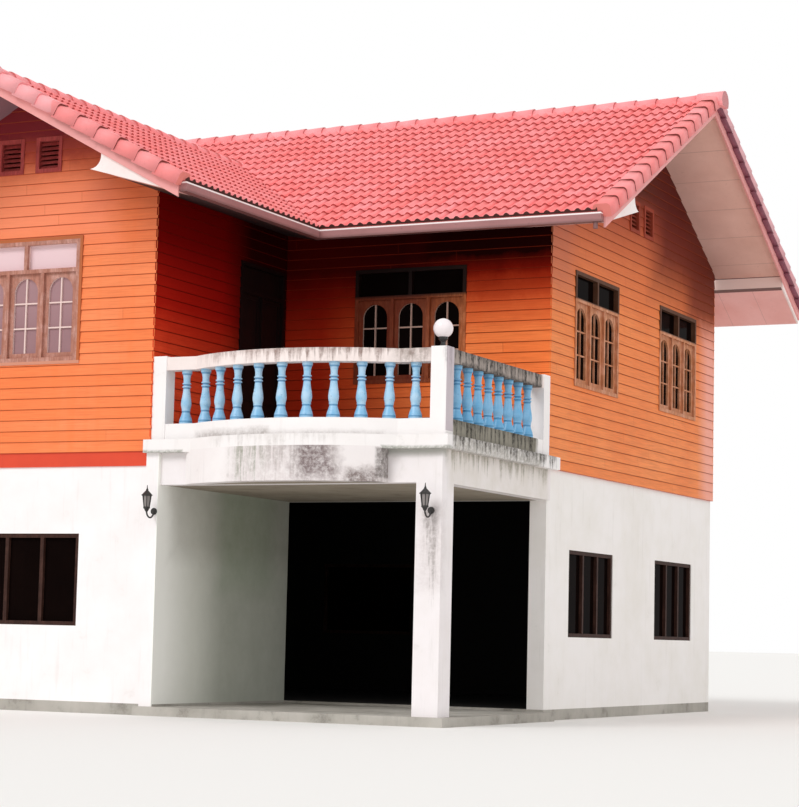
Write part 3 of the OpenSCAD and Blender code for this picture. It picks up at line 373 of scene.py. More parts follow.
balconySideBoards = boardFinish("shadedBalconySideBoards", {  # painted shade of the recess: blood red that goes black by the door
    **recessBoards, "paint": "f2502c", "faded": "f85e36", "deep": "e23c20", "dirt": "6a1208",
}, [
    stain((-far, -far, 5.1), (far, far, far), 0.9, 0.95, "b4180c"),
    stain((-far, -far, 5.9), (far, far, far), 1.1, 0.97, "7c0303"),
    stain((-far, -4.5, 0), (far, far, far), 1.6, 0.5, "780404"),
    stain((-far, -3.3, 0), (far, far, far), 0.8, 0.93, "1e0202"),
])
balconyBackBoards = boardFinish("shadedBalconyBackBoards", {  # painted light and shade: glows low down, nearly black at the top under the eave and dark towards the wing
    **recessBoards, "paint": "ff8444", "faded": "ff8f50", "deep": "fb783a", "dirt": "8e3018",
}, [
    stain((-far, -far, 5.72), (far, far, far), 0.55, 0.75, "dc4420"),
    stain((-far, -far, 6.12), (far, far, far), 0.45, 0.9, "980c04"),
    stain((-far, -far, 6.42), (far, far, far), 0.35, 0.97, "180101"),
    stain((-far, -far, 0), (1.5, far, far), 1.8, 0.9, "b01408"),
    stain((-far, -far, 5.95), (2.4, far, far), 1.0, 0.85, "2a0303"),
])

skirtPaint, tree, place = startFinish("redSkirtOverRoomBoards")  # red skirt outside, bare dark boards inside painted near black as the shade of the unlit rooms
axes = addNode(tree, "SeparateXYZ", (place,))
low = addNode(tree, "Math LESS_THAN", (axes["Z"], house["timber"] + 0.001))[0]
streak = addNode(tree, "TexNoise", {"Vector": place, "Scale": 3, "Detail": 5})[0]
paint = overlay(tree, "e2451c", (streak, "cf3512"))
endFinish(tree, overlay(tree, "150a07", (low, paint)), 0.5)


# Rendered masonry

def renderFinish(name, look, stains=()):
    # Lime-washed cement render: chalky white, rain streaks, grey mould on ledges
    material, tree, place = startFinish(name)
    streakFrom, patchFrom = look["streakFrom"], look["patchFrom"]
    cloud = noiseMask(tree, place, 1.3, 7, 0.62, [(0.38, 0.0), (0.72, look["mottle"])])
    streak = noiseMask(tree, place, (11, 11, 0.9), 6, 0.65, [
        (streakFrom, 0.0), (streakFrom + 0.16, look["streak"])])
    patch = noiseMask(tree, place, 2.6, 8, 0.7, [(patchFrom, 0.0), (patchFrom + 0.1, look["patch"])])
    colour = overlay(
        tree, look["wash"], (cloud, look["worn"]), (streak, look["streakTone"]),
        (patch, look["patchTone"]))
    if "ledge" in look:  # tops hold wet dirt
        normal = addNode(tree, "NewGeometry")["Normal"]
        upward = addNode(tree, "SeparateXYZ", (normal,))["Z"]
        upward = addNode(tree, "ValToRGB", (upward,), [(0.6, 0.0), (0.9, look["ledge"])])[0]
        colour = overlay(tree, colour, (upward, look["patchTone"]))
    colour = stained(tree, place, colour, stains)
    # sand grain is near 1 mm; drawn at 15 mm so that it shows
    sand = addNode(tree, "TexNoise", {"Vector": place, "Scale": 65, "Detail": 3})[0]
    trowel = addNode(tree, "TexNoise", {"Vector": place, "Scale": 4, "Detail": 2})[0]
    height = addNode(tree, "Math MULTIPLY_ADD", (sand, 0.25, trowel))[0]
    endFinish(tree, colour, 0.85, (height, 0.35, 0.006))
    return material


roomPlan = {"side": 4.11, "back": 5.36, "recess": -1.72, "inner": 0.05, "front": -5.36, "floor": 0.14}


def unlitRooms(tone):  # painted shade of the unlit rooms: the inner faces of the ground floor, main room and wing, near black
    p = roomPlan
    return [
        band((-p["side"], p[start], p["floor"]), (p[end], p["back"], far), 0.002, 1.0, tone)
        for start, end in (("recess", "side"), ("front", "inner"))
    ]


limeWash = {
    "mottle": 0.5, "streakFrom": 0.56, "streak": 0.1, "streakTone": "8f8b7d",
    "patchFrom": 0.62, "patch": 0.1, "patchTone": "8b8c7c",
}
whiteRender = renderFinish(
    "whiteLimeRender", {**limeWash, "wash": "f6f2f0", "worn": "e6e1d8"}, unlitRooms("0d0806"))
frontRender = renderFinish("whiteRenderWithPorchFace", {  # the face to the porch: painted shade deepening inward and up to the ceiling, with grey-green damp
    **limeWash, "wash": "faf5f5", "worn": "ece6e4", "patch": 0.08,
}, [
    *unlitRooms("0d0806"),
    band((0.115, -far, 0), (0.3, -1.0, 3.46), 0.004, 1.0, "fbfbf5"),
    stain((0.115, -4.45, 0), (far, -1.0, 3.46), 1.5, 0.8, "aeb3a0"),
    stain((0.115, -3.7, 0), (far, -1.0, 3.46), 1.4, 0.85, "5c674f"),
    stain((0.115, -4.9, 2.3), (far, -1.0, 3.46), 0.7, 0.5, "6b6450"),
    stain((0.115, -3.6, 1.9), (far, -2.5, 3.46), 0.8, 0.35, "5f8a4e"),
])
columnRender = renderFinish("whiteColumnRender", {  # grimy below the lantern and along the side beam
    **limeWash, "wash": "f3edee", "worn": "e4dcd8", "streak": 0.12, "patch": 0.12,
}, [
    mould((3.98, -far, 1.75), (4.26, -5.38, 2.75), 0.3, 0.45, "a2928f"),
    drips((4.03, -far, 1.2), (4.2, -5.38, 2.72), 0.08, 0.7, "6d625c", 2.72, 1.3, 0.1),
    stain((4.2, -5.2, 3.0), (far, -1.9, 3.6), 0.2, 0.5, "cfc7b8", 0.3),
    drips((4.2, -5.3, 3.1), (far, -1.9, 3.6), 0.12, 0.75, "7c765a", 3.5, 0.3, 0.1),
    stain((3.3, -far, 3.4), (4.3, -5.3, 3.6), 0.08, 0.6, "8a8f80", 0.05),
])
# painted shade: the porch ceiling is coloured dim grey-beige for the shade under the balcony
ceilingRender = renderFinish("dimPorchCeiling", {
    "wash": "a39888", "worn": "8b8070", "mottle": 0.8, "streakFrom": 0.6, "streak": 0.1,
    "streakTone": "5b5344", "patchFrom": 0.56, "patch": 0.3, "patchTone": "5f5a48",
})
cleanRender = renderFinish("balconyWhiteRender", {
    **limeWash, "wash": "f7f3f2", "worn": "ece6e4", "mottle": 0.4, "streakFrom": 0.58, "streak": 0.12,
    "streakTone": "9b8f88", "patch": 0.12, "patchTone": "8c857e", "ledge": 0.3,
}, [
    # painted shade on the side face of the corner post
    band((4.313, -5.6, 3.7), (far, -5.1, 5), 0.002, 0.8, "bcaeb6"),
    drips((4.28, -5.6, 3.7), (far, -5.1, 5), 0.06, 0.5, "8d8086", 4.77, 0.5, 0.08),
])
railRender = renderFinish("streakedHandrailRender", {  # rain has run down it, black on the side
    **limeWash, "wash": "f5e8e4", "worn": "e6d6d0", "streak": 0.15, "streakTone": "8f837b",
    "patchFrom": 0.6, "patch": 0.2, "patchTone": "6d655d", "ledge": 0.6,
}, [
    drips((0.9, -far, 4.3), (4.05, -5.0, 5), 0.5, 0.7, "84665c", 4.755, 0.16),
    drips((2.0, -far, 4.3), (4.05, -5.0, 5), 0.7, 0.6, "745a50", 4.755, 0.28),
    mould((3.6, -far, 4.3), (4.05, -5.0, 5), 0.2, 0.5, "8b8178", 0.1),
    stain((4.05, -5.25, 4.3), (far, -2.3, 5), 0.12, 0.7, "766a5c", 0.15),
    drips((4.05, -5.25, 4.3), (far, -2.3, 5), 0.1, 1.0, "0d0905", 4.77, 0.34, 0.12),
    mould((4.05, -5.0, 4.3), (far, -2.3, 4.61), 0.05, 0.9, "120d08", 0.15),
])
curbRender = renderFinish("streakedCurbRender", {
    **limeWash, "wash": "f7f3f2", "worn": "ece6e4", "mottle": 0.4, "streakFrom": 0.58, "streak": 0.12,
    "streakTone": "9b8f88", "patch": 0.15, "patchTone": "7d766c", "ledge": 0.5,
}, [
    mould((0.7, -far, 3.6), (2.0, -5.0, 3.72), 0.1, 0.55, "8b8078", 0.16),
    mould((1.9, -far, 3.6), (3.5, -5.0, 3.68), 0.08, 0.4, "8b8078", 0.12),
    stain((4.05, -5.25, 3.5), (far, -2.45, 4), 0.12, 0.85, "716b55", 0.15),
    drips((4.05, -5.25, 3.5), (far, -2.45, 4), 0.1, 1.0, "1d180f", 3.87, 0.34, 0.15),
])
slabRender = renderFinish("stainedSlabRender", {
    **limeWash, "wash": "f5f1f0", "worn": "e8e2de", "streak": 0.15, "streakTone": "8f847a",
    "patchFrom": 0.6, "patch": 0.2, "patchTone": "77706a", "ledge": 0.5,
}, [
    # painted shade along the slab's lower edge at both ends of the front
    mould((-0.4, -far, 3.4), (0.52, -5.35, 3.505), 0.03, 0.75, "747a68", 0.03),
    mould((3.5, -far, 3.4), (far, -5.35, 3.505), 0.03, 0.75, "747a68", 0.03),
    drips((1.2, -far, 3.4), (2.9, -5.35, 3.66), 0.3, 0.45, "9b9088", 3.66, 0.2, 0.3),
    mould((4.2, -5.35, 3.4), (far, -2.4, 3.7), 0.12, 0.7, "8d887b", 0.2),
    drips((4.2, -5.35, 3.4), (far, -1.9, 3.7), 0.12, 0.95, "37312a", 3.66, 0.22, 0.15),
])
stainedRender = renderFinish("stainedBalconyRender", {  # the bowed beam, blotched where its paint has gone
    **limeWash, "wash": "f3eeed", "worn": "e6dedc", "mottle": 0.6, "streak": 0.15, "streakTone": "8d8480",
    "patchFrom": 0.58, "patch": 0.25, "patchTone": "7a716c",
}, [
    mould((1.45, -far, 2.9), (3.6, -5.0, 3.6), 0.3, 0.6, "d0c4c3"),
    drips((1.5, -far, 2.9), (2.0, -5.0, 3.6), 0.25, 0.8, "8f917f", 3.55, 0.9, 0.15),
    drips((2.0, -far, 2.9), (3.0, -5.0, 3.6), 0.25, 0.6, "a59a96", 3.5, 0.5),
    mould((2.45, -far, 3.12), (2.95, -5.0, 3.6), 0.22, 0.9, "6d5b5b", 0.5),
    mould((3.0, -far, 3.24), (3.5, -5.0, 3.6), 0.15, 0.6, "f4efee", 0.3),
    mould((3.1, -far, 2.9), (3.5, -5.0, 3.2), 0.12, 0.85, "665550", 0.3),
    mould((3.44, -far, 3.1), (3.6, -5.0, 3.48), 0.03, 0.8, "5d5450", 0.03),
])
concrete = renderFinish("greyConcrete", {  # floated slab, clouded grey
    "wash": "b9b4ac", "worn": "948f86", "mottle": 0.9, "streakFrom": 0.55, "streak": 0.2,
    "streakTone": "6b665e", "patchFrom": 0.55, "patch": 0.4, "patchTone": "5f5b52",
}, unlitRooms("120c09"))


# Roof tiles and caps

def tileFinish(name, look, stains=()):
    # Acrylic-coated concrete roof tiles: chalky coral red, each a little different, with painted shade on the
    # butts
    material, tree, place = startFinish(name)
    shade = addNode(tree, "Attribute", attribute_name="pieceTone")["Fac"]
    butt = addNode(tree, "Attribute", attribute_name="buttEnd")["Fac"]
    axes = addNode(tree, "SeparateXYZ", (place,))
    cloud = noiseMask(tree, place, 0.8, 5, 0.5, [(0.35, 0.0), (0.7, 0.6)])
    speck = noiseMask(tree, place, 22, 4, 0.7, [(0.55, 0.0), (0.75, 0.3)])
    colour = overlay(
        tree, look["coat"], (shade, look["faded"]), (cloud, look["deep"]), (speck, look["grime"]),
        (butt, look["butt"]))
    if "eaveTone" in look:  # the butts along the eave stand in their own shadow
        eaveTop = house["eave"] + look["eaveReach"]
        eave = addNode(tree, "Math LESS_THAN", (axes["Z"], eaveTop))[0]
        eave = addNode(tree, "Math MULTIPLY", (eave, butt))[0]
        colour = overlay(tree, colour, (eave, look["eaveTone"]))
    if "skirtTone" in look:  # the skirts over the rear barge boards are never lit
        skirtTop = house["eave"] + mainRun * rise - look["skirtDepth"]
        depth = addNode(tree, "Math ADD", (axes["Y"], -mainMid))[0]
        depth = addNode(tree, "Math MULTIPLY_ADD", (depth, rise, axes["Z"]))[0]
        depth = addNode(tree, "MapRange", {
            "Value": depth, "From Min": skirtTop - 0.005, "From Max": skirtTop + 0.005,
            "To Min": 1.0, "To Max": 0.0})[0]
        colour = overlay(tree, colour, (depth, look["skirtTone"]))
    colour = stained(tree, place, colour, stains)
    # the sand under the coat is near 1 mm; drawn at 11 mm so that it shows
    sand = addNode(tree, "TexNoise", {"Vector": place, "Scale": 90, "Detail": 2})[0]
    endFinish(tree, colour, 0.62, (sand, 0.2, 0.002))
    return material


redTiles = tileFinish("coralConcreteTiles", {
    "coat": "fe8483", "faded": "ff9a9d", "deep": "f87571", "grime": "d66864", "butt": "b44a46",
    "eaveTone": "4a221a", "eaveReach": 0.07,
})
redCaps = tileFinish("coralConcreteCaps", {
    "coat": "fb8a89", "faded": "fea3a5", "deep": "f67c78", "grime": "d87874", "butt": "7e332b",
    "eaveTone": "ec857c", "eaveReach": 0.13,
}, [band((wingMid - 1.12, -far, 7.9), (wingMid + 1.2, -6.2, far), 0.02, 1.0, "fba9ac")])
ridgeTiles = tileFinish("coralRidgeCaps", {  # paler than the tiles, their joints hardly show
    "coat": "fc9092", "faded": "fea8ac", "deep": "f88482", "grime": "e08482", "butt": "cc6c6a",
})
rearCaps = tileFinish("shadedRearCaps", {  # pale tops over a dark violet skirt of painted shade
    "coat": "e6a6ab", "faded": "efb9be", "deep": "d6929a", "grime": "a0646c", "butt": "6b3440",
    "skirtTone": "8a4c5c", "skirtDepth": 0.09,
})
paleCaps = tileFinish("palePinkEndCaps", {
    "coat": "fba9ac", "faded": "fdbcbe", "deep": "f79a9c", "grime": "e08a8c", "butt": "c98284",
})
tileBed = tileFinish("tileBattensAndBedding", {  # brick red mortar and battens below the tiles
    "coat": "b85450", "faded": "bf5d58", "deep": "a04642", "grime": "6e2f2c", "butt": "5a2422",
})


# Eave sheets, fascia boards and gutters

def sheetFinish(name, look, stains=()):
    # Painted fibre-cement sheets and fascia boards: smooth, thin open joints every sheet, damp clouds
    material, tree, place = startFinish(name)
    cloud = noiseMask(tree, place, 1.6, 6, 0.6, [(0.35, 0.0), (0.72, 1.0)])
    speck = noiseMask(tree, place, 14, 6, 0.7, [(0.58, 0.0), (0.75, look["speck"])])
    colour = overlay(tree, look["coat"], (cloud, look["damp"]), (speck, look["grime"]))
    if "sheet" in look:
        step = addNode(tree, "SeparateXYZ", (place,))[look["along"]]
        step = addNode(tree, "Math SUBTRACT", (step, look["from"]))[0]
        step = addNode(tree, "Math DIVIDE", (step, look["sheet"]))[0]
        step = addNode(tree, "Math FRACT", (step,))[0]
        line = addNode(tree, "ValToRGB", (step,), [(0, 0.6), (look["joint"], 0.0)])[0]
        colour = overlay(tree, colour, (line, look["grime"]))
    colour = stained(tree, place, colour, stains)
    endFinish(tree, colour, look["roughness"], (cloud, 0.15, 0.004))
    return material


soffitSheets = sheetFinish("beigeSoffitSheets", {
    "coat": "f6cdbf", "damp": "e9bcad", "grime": "a87a6e", "speck": 0.25, "roughness": 0.7,
    "along": "Y", "from": 2.05, "sheet": 0.64, "joint": 0.03,
}, [
    stain((3.9, -far, 0), (4.7, 9, far), 0.7, 0.4, "b08078"),
    stain((3.9, 5.0, 0), (far, 9, far), 0.9, 0.25, "b08478"),
    stain((-far, -far, 0), (0.1, -4.8, far), 0.4, 0.92, "86606c"),
])
boxSheets = sheetFinish("pinkEaveSheets", {  # pink, with a pale closing strip between two dark joints
    "coat": "f8c3bf", "damp": "eeb0aa", "grime": "a87a72", "speck": 0.2, "roughness": 0.7,
    "along": "X", "from": house["right"] + 0.02, "sheet": 0.6, "joint": 0.02,
}, [
    band((-far, 5.5, 7.07), (far, 5.64, far), 0.004, 1.0, "ffebe5"),
    band((-far, 5.5, 7.276), (far, 5.64, far), 0.004, 0.9, "5a2f2a"),
    band((-far, 5.5, 6.9), (far, 5.64, 7.1), 0.004, 0.9, "5a2f2a"),
])
# painted shade: the eave sheets inside the recess are near black
shadedSheets = sheetFinish("shadedRecessEaveSheets", {
    "coat": "e3b3ab", "damp": "d39a92", "grime": "8f655d", "speck": 0.3, "roughness": 0.7,
}, [band((-0.1, -6.4, 0), (4.3, far, far), 0.15, 1.0, "1e0505")])
bargePaint = sheetFinish("pinkBargePaint", {
    "coat": "f0a9a6", "damp": "e49794", "grime": "b06c68", "speck": 0.3, "roughness": 0.6,
})
whiteBoards = sheetFinish("whitePaintedEndBoards", {
    "coat": "faf0ed", "damp": "f0dcd8", "grime": "c9aca6", "speck": 0.3, "roughness": 0.6,
})
gutterPaint = sheetFinish("paleGutterPaint", {  # mauve face, bright top lip, dark underside
    "coat": "a67271", "damp": "966463", "grime": "6d4444", "speck": 0.5, "roughness": 0.45,
}, [
    band((-far, -far, 6.836), (far, far, 7), 0.006, 0.95, "fff5f4"),
    stain((-far, -far, 6), (far, far, 6.755), 0.03, 0.6, "5e3f3c", 0.01),
])


# Window frames, door, vents and glass

def woodFinish(name, look, stains=()):
    # Varnished or painted hardwood that the weather has dulled: grain along the bar, pale worn patches
    material, tree, place = startFinish(name)
    grain = addNode(tree, "Mapping", {"Vector": place, "Scale": (38, 38, 5)})[0]
    grain = addNode(tree, "TexNoise", {
        "Vector": grain, "Scale": 1.0, "Detail": 6, "Roughness": 0.6, "Distortion": 0.4})[0]
    dark = addNode(tree, "ValToRGB", (grain,), [(0.35, 0.6), (0.6, 0.0)])[0]
    worn = noiseMask(tree, place, 5, 6, 0.7, [(0.45, 0.0), (0.65, 1.0)])
    colour = overlay(tree, look["coat"], (worn, look["worn"]), (dark, look["grain"]))
    colour = stained(tree, place, colour, stains)
    endFinish(tree, colour, look["roughness"], (grain, 0.3, 0.001), 0.15)
    return material


groundFrame = woodFinish(
    "darkPaintedHardwood", {"coat": "3a221b", "worn": "4b3028", "grain": "1c0f0b", "roughness": 0.6})
casingFrame = woodFinish("wornFrameWithOrangeCasing", {  # dull wood, cream bars, casing in the wall's orange
    "coat": "b9806f", "worn": "d2a296", "grain": "8f5b4a", "roughness": 0.6,
}, [
    band((-far, -5.4495, 4.8), (far, -5.3, 6.4), 0.002, 0.9, "efd6d0"),
    band((-3.1, -5.6, 4.6), (-2.99, -5.4, 6.6), 0.001, 1.0, "c4714f"),
    band((-1.236, -5.6, 4.6), (-1.1, -5.4, 6.6), 0.001, 1.0, "b9683f"),
    band((-3.1, -5.6, 6.439), (-1.1, -5.4, 6.6), 0.001, 1.0, "b9683f"),
    band((-3.1, -5.6, 4.6), (-1.1, -5.4, 4.761), 0.001, 1.0, "d08f77"),
])
brownFrame = woodFinish("brownVarnishedHardwood", {  # warm leaves below dark fanlight frames
    "coat": "c8855e", "worn": "e0a688", "grain": "8a5236", "roughness": 0.6,
}, [band((-far, -far, 6.03), (far, far, far), 0.02, 0.9, "3c2418")])
recessFrame = woodFinish("shadedRecessHardwood", {  # painted shade: darker towards the corner, black in the fanlight frames under the eave; pale bars
    "coat": "c8713f", "worn": "dd8c5e", "grain": "7c3a1c", "roughness": 0.5,
}, [
    stain((-far, -far, 0), (2.6, far, far), 1.0, 0.8, "5c1410"),
    band((-far, -1.7995, 0), (far, far, 5.95), 0.002, 0.75, "c8aa9c"),
    band((-far, -far, 6.02), (far, far, far), 0.06, 0.97, "0a0202"),
])
darkDoor = woodFinish(
    "darkVarnishedDoor", {"coat": "140403", "worn": "1c0604", "grain": "0a0202", "roughness": 0.6})
ventPaint = woodFinish("darkVentPaint", {
    "coat": "b44c48", "worn": "c05854", "grain": "78302e", "roughness": 0.7,
# painted shade on the right gable's vents, like the shaded wall around them
}, [band((4.0, -far, 0), (far, far, far), 0.02, 0.9, "93402c")])
# painted shade: near black for the unlit rooms
roomBoards = woodFinish(
    "darkRoomBoards", {"coat": "1b100c", "worn": "221410", "grain": "100806", "roughness": 0.8})


def glassFinish(name, stains=()):
    # Float glass before unlit rooms: opaque and near black as painted shade of the rooms, a little hazed by
    # dust, with a painted sky reflection where a window faces the sky
    material, tree, place = startFinish(name)
    haze = addNode(tree, "TexNoise", {"Vector": place, "Scale": 1.6, "Detail": 3})[0]
    colour = overlay(tree, "070404", (haze, "140b09"))
    endFinish(tree, stained(tree, place, colour, stains), 0.08, gloss=0.004)
    return material


upperGlass = glassFinish("upperGlassWithPaintedSkyReflection", [
    # painted sky reflection on the front window: lilac, darker low down, pale in the fanlight
    band((-far, -far, 4), (0, -5.3, 7), 0.01, 1.0, "a88589"),
    stain((-far, -far, 4), (0, -5.3, 5.3), 0.5, 0.5, "8c6a6e"),
    band((-far, -far, 6.04), (0, -5.3, 7), 0.02, 1.0, "eccfd3"),
])
lowGlass = glassFinish("blackGroundGlass")


# Balusters and lamps

baluster = {"foot": house["deck"] + 0.21, "height": 0.72, "rings": (0.05, 0.23, 0.67, 0.73, 0.93)}
bluePaint, tree, place = startFinish("lightBlueGlossPaint")  # thick gloss on castings, some grime, painted shade in the beads
cloud = noiseMask(tree, place, 9, 5, 0.5, [(0.4, 0.0), (0.7, 0.8)])
grime = noiseMask(tree, place, 26, 5, 0.7, [(0.58, 0.0), (0.72, 0.7)])
paint = overlay(tree, "b0d2ea", (cloud, "7cbbe0"), (grime, "4b7f9c"))
foot = baluster["foot"]
marks = [
    # painted shade low on the bellies and over the side row
    stain((-far, -far, foot + 0.02), (far, far, foot + 0.15), 0.08, 0.5, "5aa5d4", 0.03),
    band((4.12, -5.2, 3.8), (far, -2.2, 4.7), 0.02, 0.55, "3f9fd2"),
]
# painted shade in each bead
for part in baluster["rings"]:
    ring = foot + baluster["height"] * part
    marks.append(stain((-far, -far, ring - 0.014), (far, far, ring + 0.006), 0.014, 0.75, "2878ac", 0.006))
endFinish(tree, stained(tree, place, paint, marks), 0.35)

globe = {"postTop": house["deck"] + 1.12, "footHeight": 0.1245}
opal, tree, place = startFinish("opalGlobeOnBlackFoot")  # milky acrylic globe, black foot under it
axes = addNode(tree, "SeparateXYZ", (place,))
under = addNode(tree, "Math LESS_THAN", (axes["Z"], globe["postTop"] + globe["footHeight"]))[0]
endFinish(tree, overlay(tree, "f2e8ea", (under, "1c1a19")), 0.2)

lantern = {  # its panes stand further from its middle towards the top
    "places": ((0.0763, -5.655), (4.116, -5.6)), "low": 2.745, "high": 2.888, "paneReach": 0.0365,
    "flare": 0.119,
}
blackIron, tree, place = startFinish("blackIronWithFrostedPanes")  # satin castings, dull white panes
dust = addNode(tree, "TexNoise", {"Vector": place, "Scale": 40, "Detail": 4})[0]
paint = overlay(tree, "141212", (dust, "332e2c"))
axes = addNode(tree, "SeparateXYZ", (place,))
paneStart = lantern["paneReach"] - lantern["flare"] * lantern["low"]
wider = addNode(tree, "Math MULTIPLY_ADD", (axes["Z"], lantern["flare"], paneStart))[0]
for x, y in lantern["places"]:
    away = addNode(tree, "VectorMath SUBTRACT", (place, (x, y, 0)))[0]
    away = addNode(tree, "VectorMath MULTIPLY", (away, (1, 1, 0)))[0]
    away = addNode(tree, "VectorMath LENGTH", (away,))["Value"]
    pane = addNode(tree, "Math LESS_THAN", (away, wider))[0]
    for edge, compare in ((lantern["low"], "GREATER_THAN"), (lantern["high"], "LESS_THAN")):
        inside = addNode(tree, "Math " + compare, (axes["Z"], edge))[0]
        pane = addNode(tree, "Math MULTIPLY", (pane, inside))[0]
    paint = overlay(tree, paint, (pane, "8d8684"))
endFinish(tree, paint, 0.45)

setFinish(concrete, "ground_slab")
setFinish(frontRender, "ground_front_wall", "porch_side_wall")
setFinish(
    whiteRender, "ground_right_wall", "ground_back_wall", "ground_left_wall", "porch_lintel", "porch_pier")
setFinish(columnRender, "porch_column", "porch_beams")
setFinish(ceilingRender, "porch_ceiling")
setFinish(cleanRender, "balcony_posts")
setFinish(railRender, "balcony_handrail")
setFinish(curbRender, "balcony_curb")
setFinish(slabRender, "balcony_slab")
setFinish(stainedRender, "bow_beam")
setFinish(
    skirtPaint, "front_gable_wall", "balcony_side_wall", "balcony_back_wall", "right_gable_wall",
    "back_wall", "left_gable_wall")
setFinish(roomBoards, "upper_floor")
setFinish(casingFrame, "front_window")
setFinish(groundFrame, "ground_window_frames")
setFinish(recessFrame, "balcony_window")
setFinish(brownFrame, "right_windows", "back_windows", "left_windows")
setFinish(upperGlass, "upper_window_glass")
setFinish(lowGlass, "ground_window_glass")
setFinish(darkDoor, "balcony_door")
setFinish(ventPaint, "gable_vents")
setFinish(bluePaint, "front_balusters", "side_balusters")
setFinish(tileBed, "main_roof_front", "main_roof_back", "wing_roof_left", "wing_roof_right")
setFinish(redCaps, "ridge_caps", "verge_caps")
setFinish(bargePaint, "barge_boards")
setFinish(soffitSheets, "gable_soffits")
setFinish(shadedSheets, "front_eave_boxes")
setFinish(boxSheets, "back_eave_boxes")
setFinish(whiteBoards, "eave_end_boards")
setFinish(gutterPaint, "gutters")
setFinish(opal, "globe_lamp")
setFinish(blackIron, "wall_lanterns")
print("finishes done")


# Lapped boards on the timber walls

def sidingTree():
    tree, put, out = startTree("lappedBoards", {
        "Board": "Object", "Rows": "Int", "Exposure": "Float", "Length": "Float", "Cutter": "Object",
        "Place": "Vector", "Turn": "Float", "Finish": "Material",
    })
    step = addNode(tree, "CombineXYZ", {"Z": put["Exposure"]})[0]
    line = addNode(tree, "GeometryNodeMeshLine", {"Count": put["Rows"], "Offset": step}, mode="OFFSET")[0]
    board = addNode(tree, "GeometryNodeObjectInfo", {"Object": put["Board"]})["Geometry"]
    size = addNode(tree, "CombineXYZ", {"X": put["Length"], "Y": 1.0, "Z": 1.0})[0]
    rows = addNode(tree, "GeometryNodeInstanceOnPoints", {
        "Points": line, "Instance": board, "Scale": size})[0]
    rows = addNode(tree, "GeometryNodeRealizeInstances", (rows,))[0]
    cutter = addNode(tree, "GeometryNodeObjectInfo", {"Object": put["Cutter"]})["Geometry"]
    rows = addNode(tree, "GeometryNodeMeshBoolean DIFFERENCE", {"Mesh 1": rows, "Mesh 2": cutter})[0]
    turn = addNode(tree, "CombineXYZ", {"Z": put["Turn"]})[0]
    rows = addNode(tree, "GeometryNodeTransform", {0: rows, "Translation": put["Place"], "Rotation": turn})[0]
    rows = addNode(tree, "GeometryNodeSetMaterial", {0: rows, "Material": put["Finish"]})[0]
    tree.links.new(rows, out[0])
    return tree


cutting = {"depth": 0.2, "beyond": 1, "top": 12}  # how far the cutters reach past the boards
windowSize = {"width": 1.78, "height": 1.68, "sill": 4.76, "casing": 0.042, "balconyStart": 1.17}
doorHole = {"start": 2.26, "end": 3.56, "foot": 3.5, "head": 6.44}
ventSize = {"width": 0.43, "height": 0.5, "foot": 7.4, "gap": 0.2}


def cutterPiece(outlines):
    # each outline is an elevation in u and z, pushed through the wall
    vertices, faces = [], []
    for outline in outlines:
        first, n = len(vertices), len(outline)
        vertices += [(u, y, z) for y in (-cutting["depth"], cutting["depth"]) for u, z in outline]
        faces += [tuple(range(first, first + n)), tuple(range(first + 2 * n - 1, first + n - 1, -1))]
        faces += [(first + i, first + n + i, first + n + (i + 1) % n, first + (i + 1) % n) for i in range(n)]
    return turnOutward(meshPiece("cutter", vertices, faces))


def rect(start, end, low, high):
    return [(start, low), (end, low), (end, high), (start, high)]


def windowHole(u, casing=0.0):
    w = windowSize
    return rect(u - casing, u + w["width"] + casing, w["sill"] - casing, w["sill"] + w["height"] + casing)


def ventHoles(mid):
    v = ventSize
    starts = [mid + side * (v["gap"] + v["width"]) / 2 - v["width"] / 2 for side in (-1, 1)]
    return [rect(u, u + v["width"], v["foot"], v["foot"] + v["height"]) for u in starts]


def aboveBox(length):
    return rect(-cutting["beyond"], length + cutting["beyond"], house["boxTop"], cutting["top"])


def underSoffit(u, mid, run):  # height of a gable's soffit boards
    low = house["eave"] - house["soffitDepth"] / math.cos(house["pitch"])
    return (u, low + (run - abs(u - mid)) * rise)


def aboveGable(mid, run):
    first, last, top = -cutting["beyond"], 2 * mid + cutting["beyond"], cutting["top"]
    return [*(underSoffit(u, mid, run) for u in (first, mid, last)), (last, top), (first, top)]


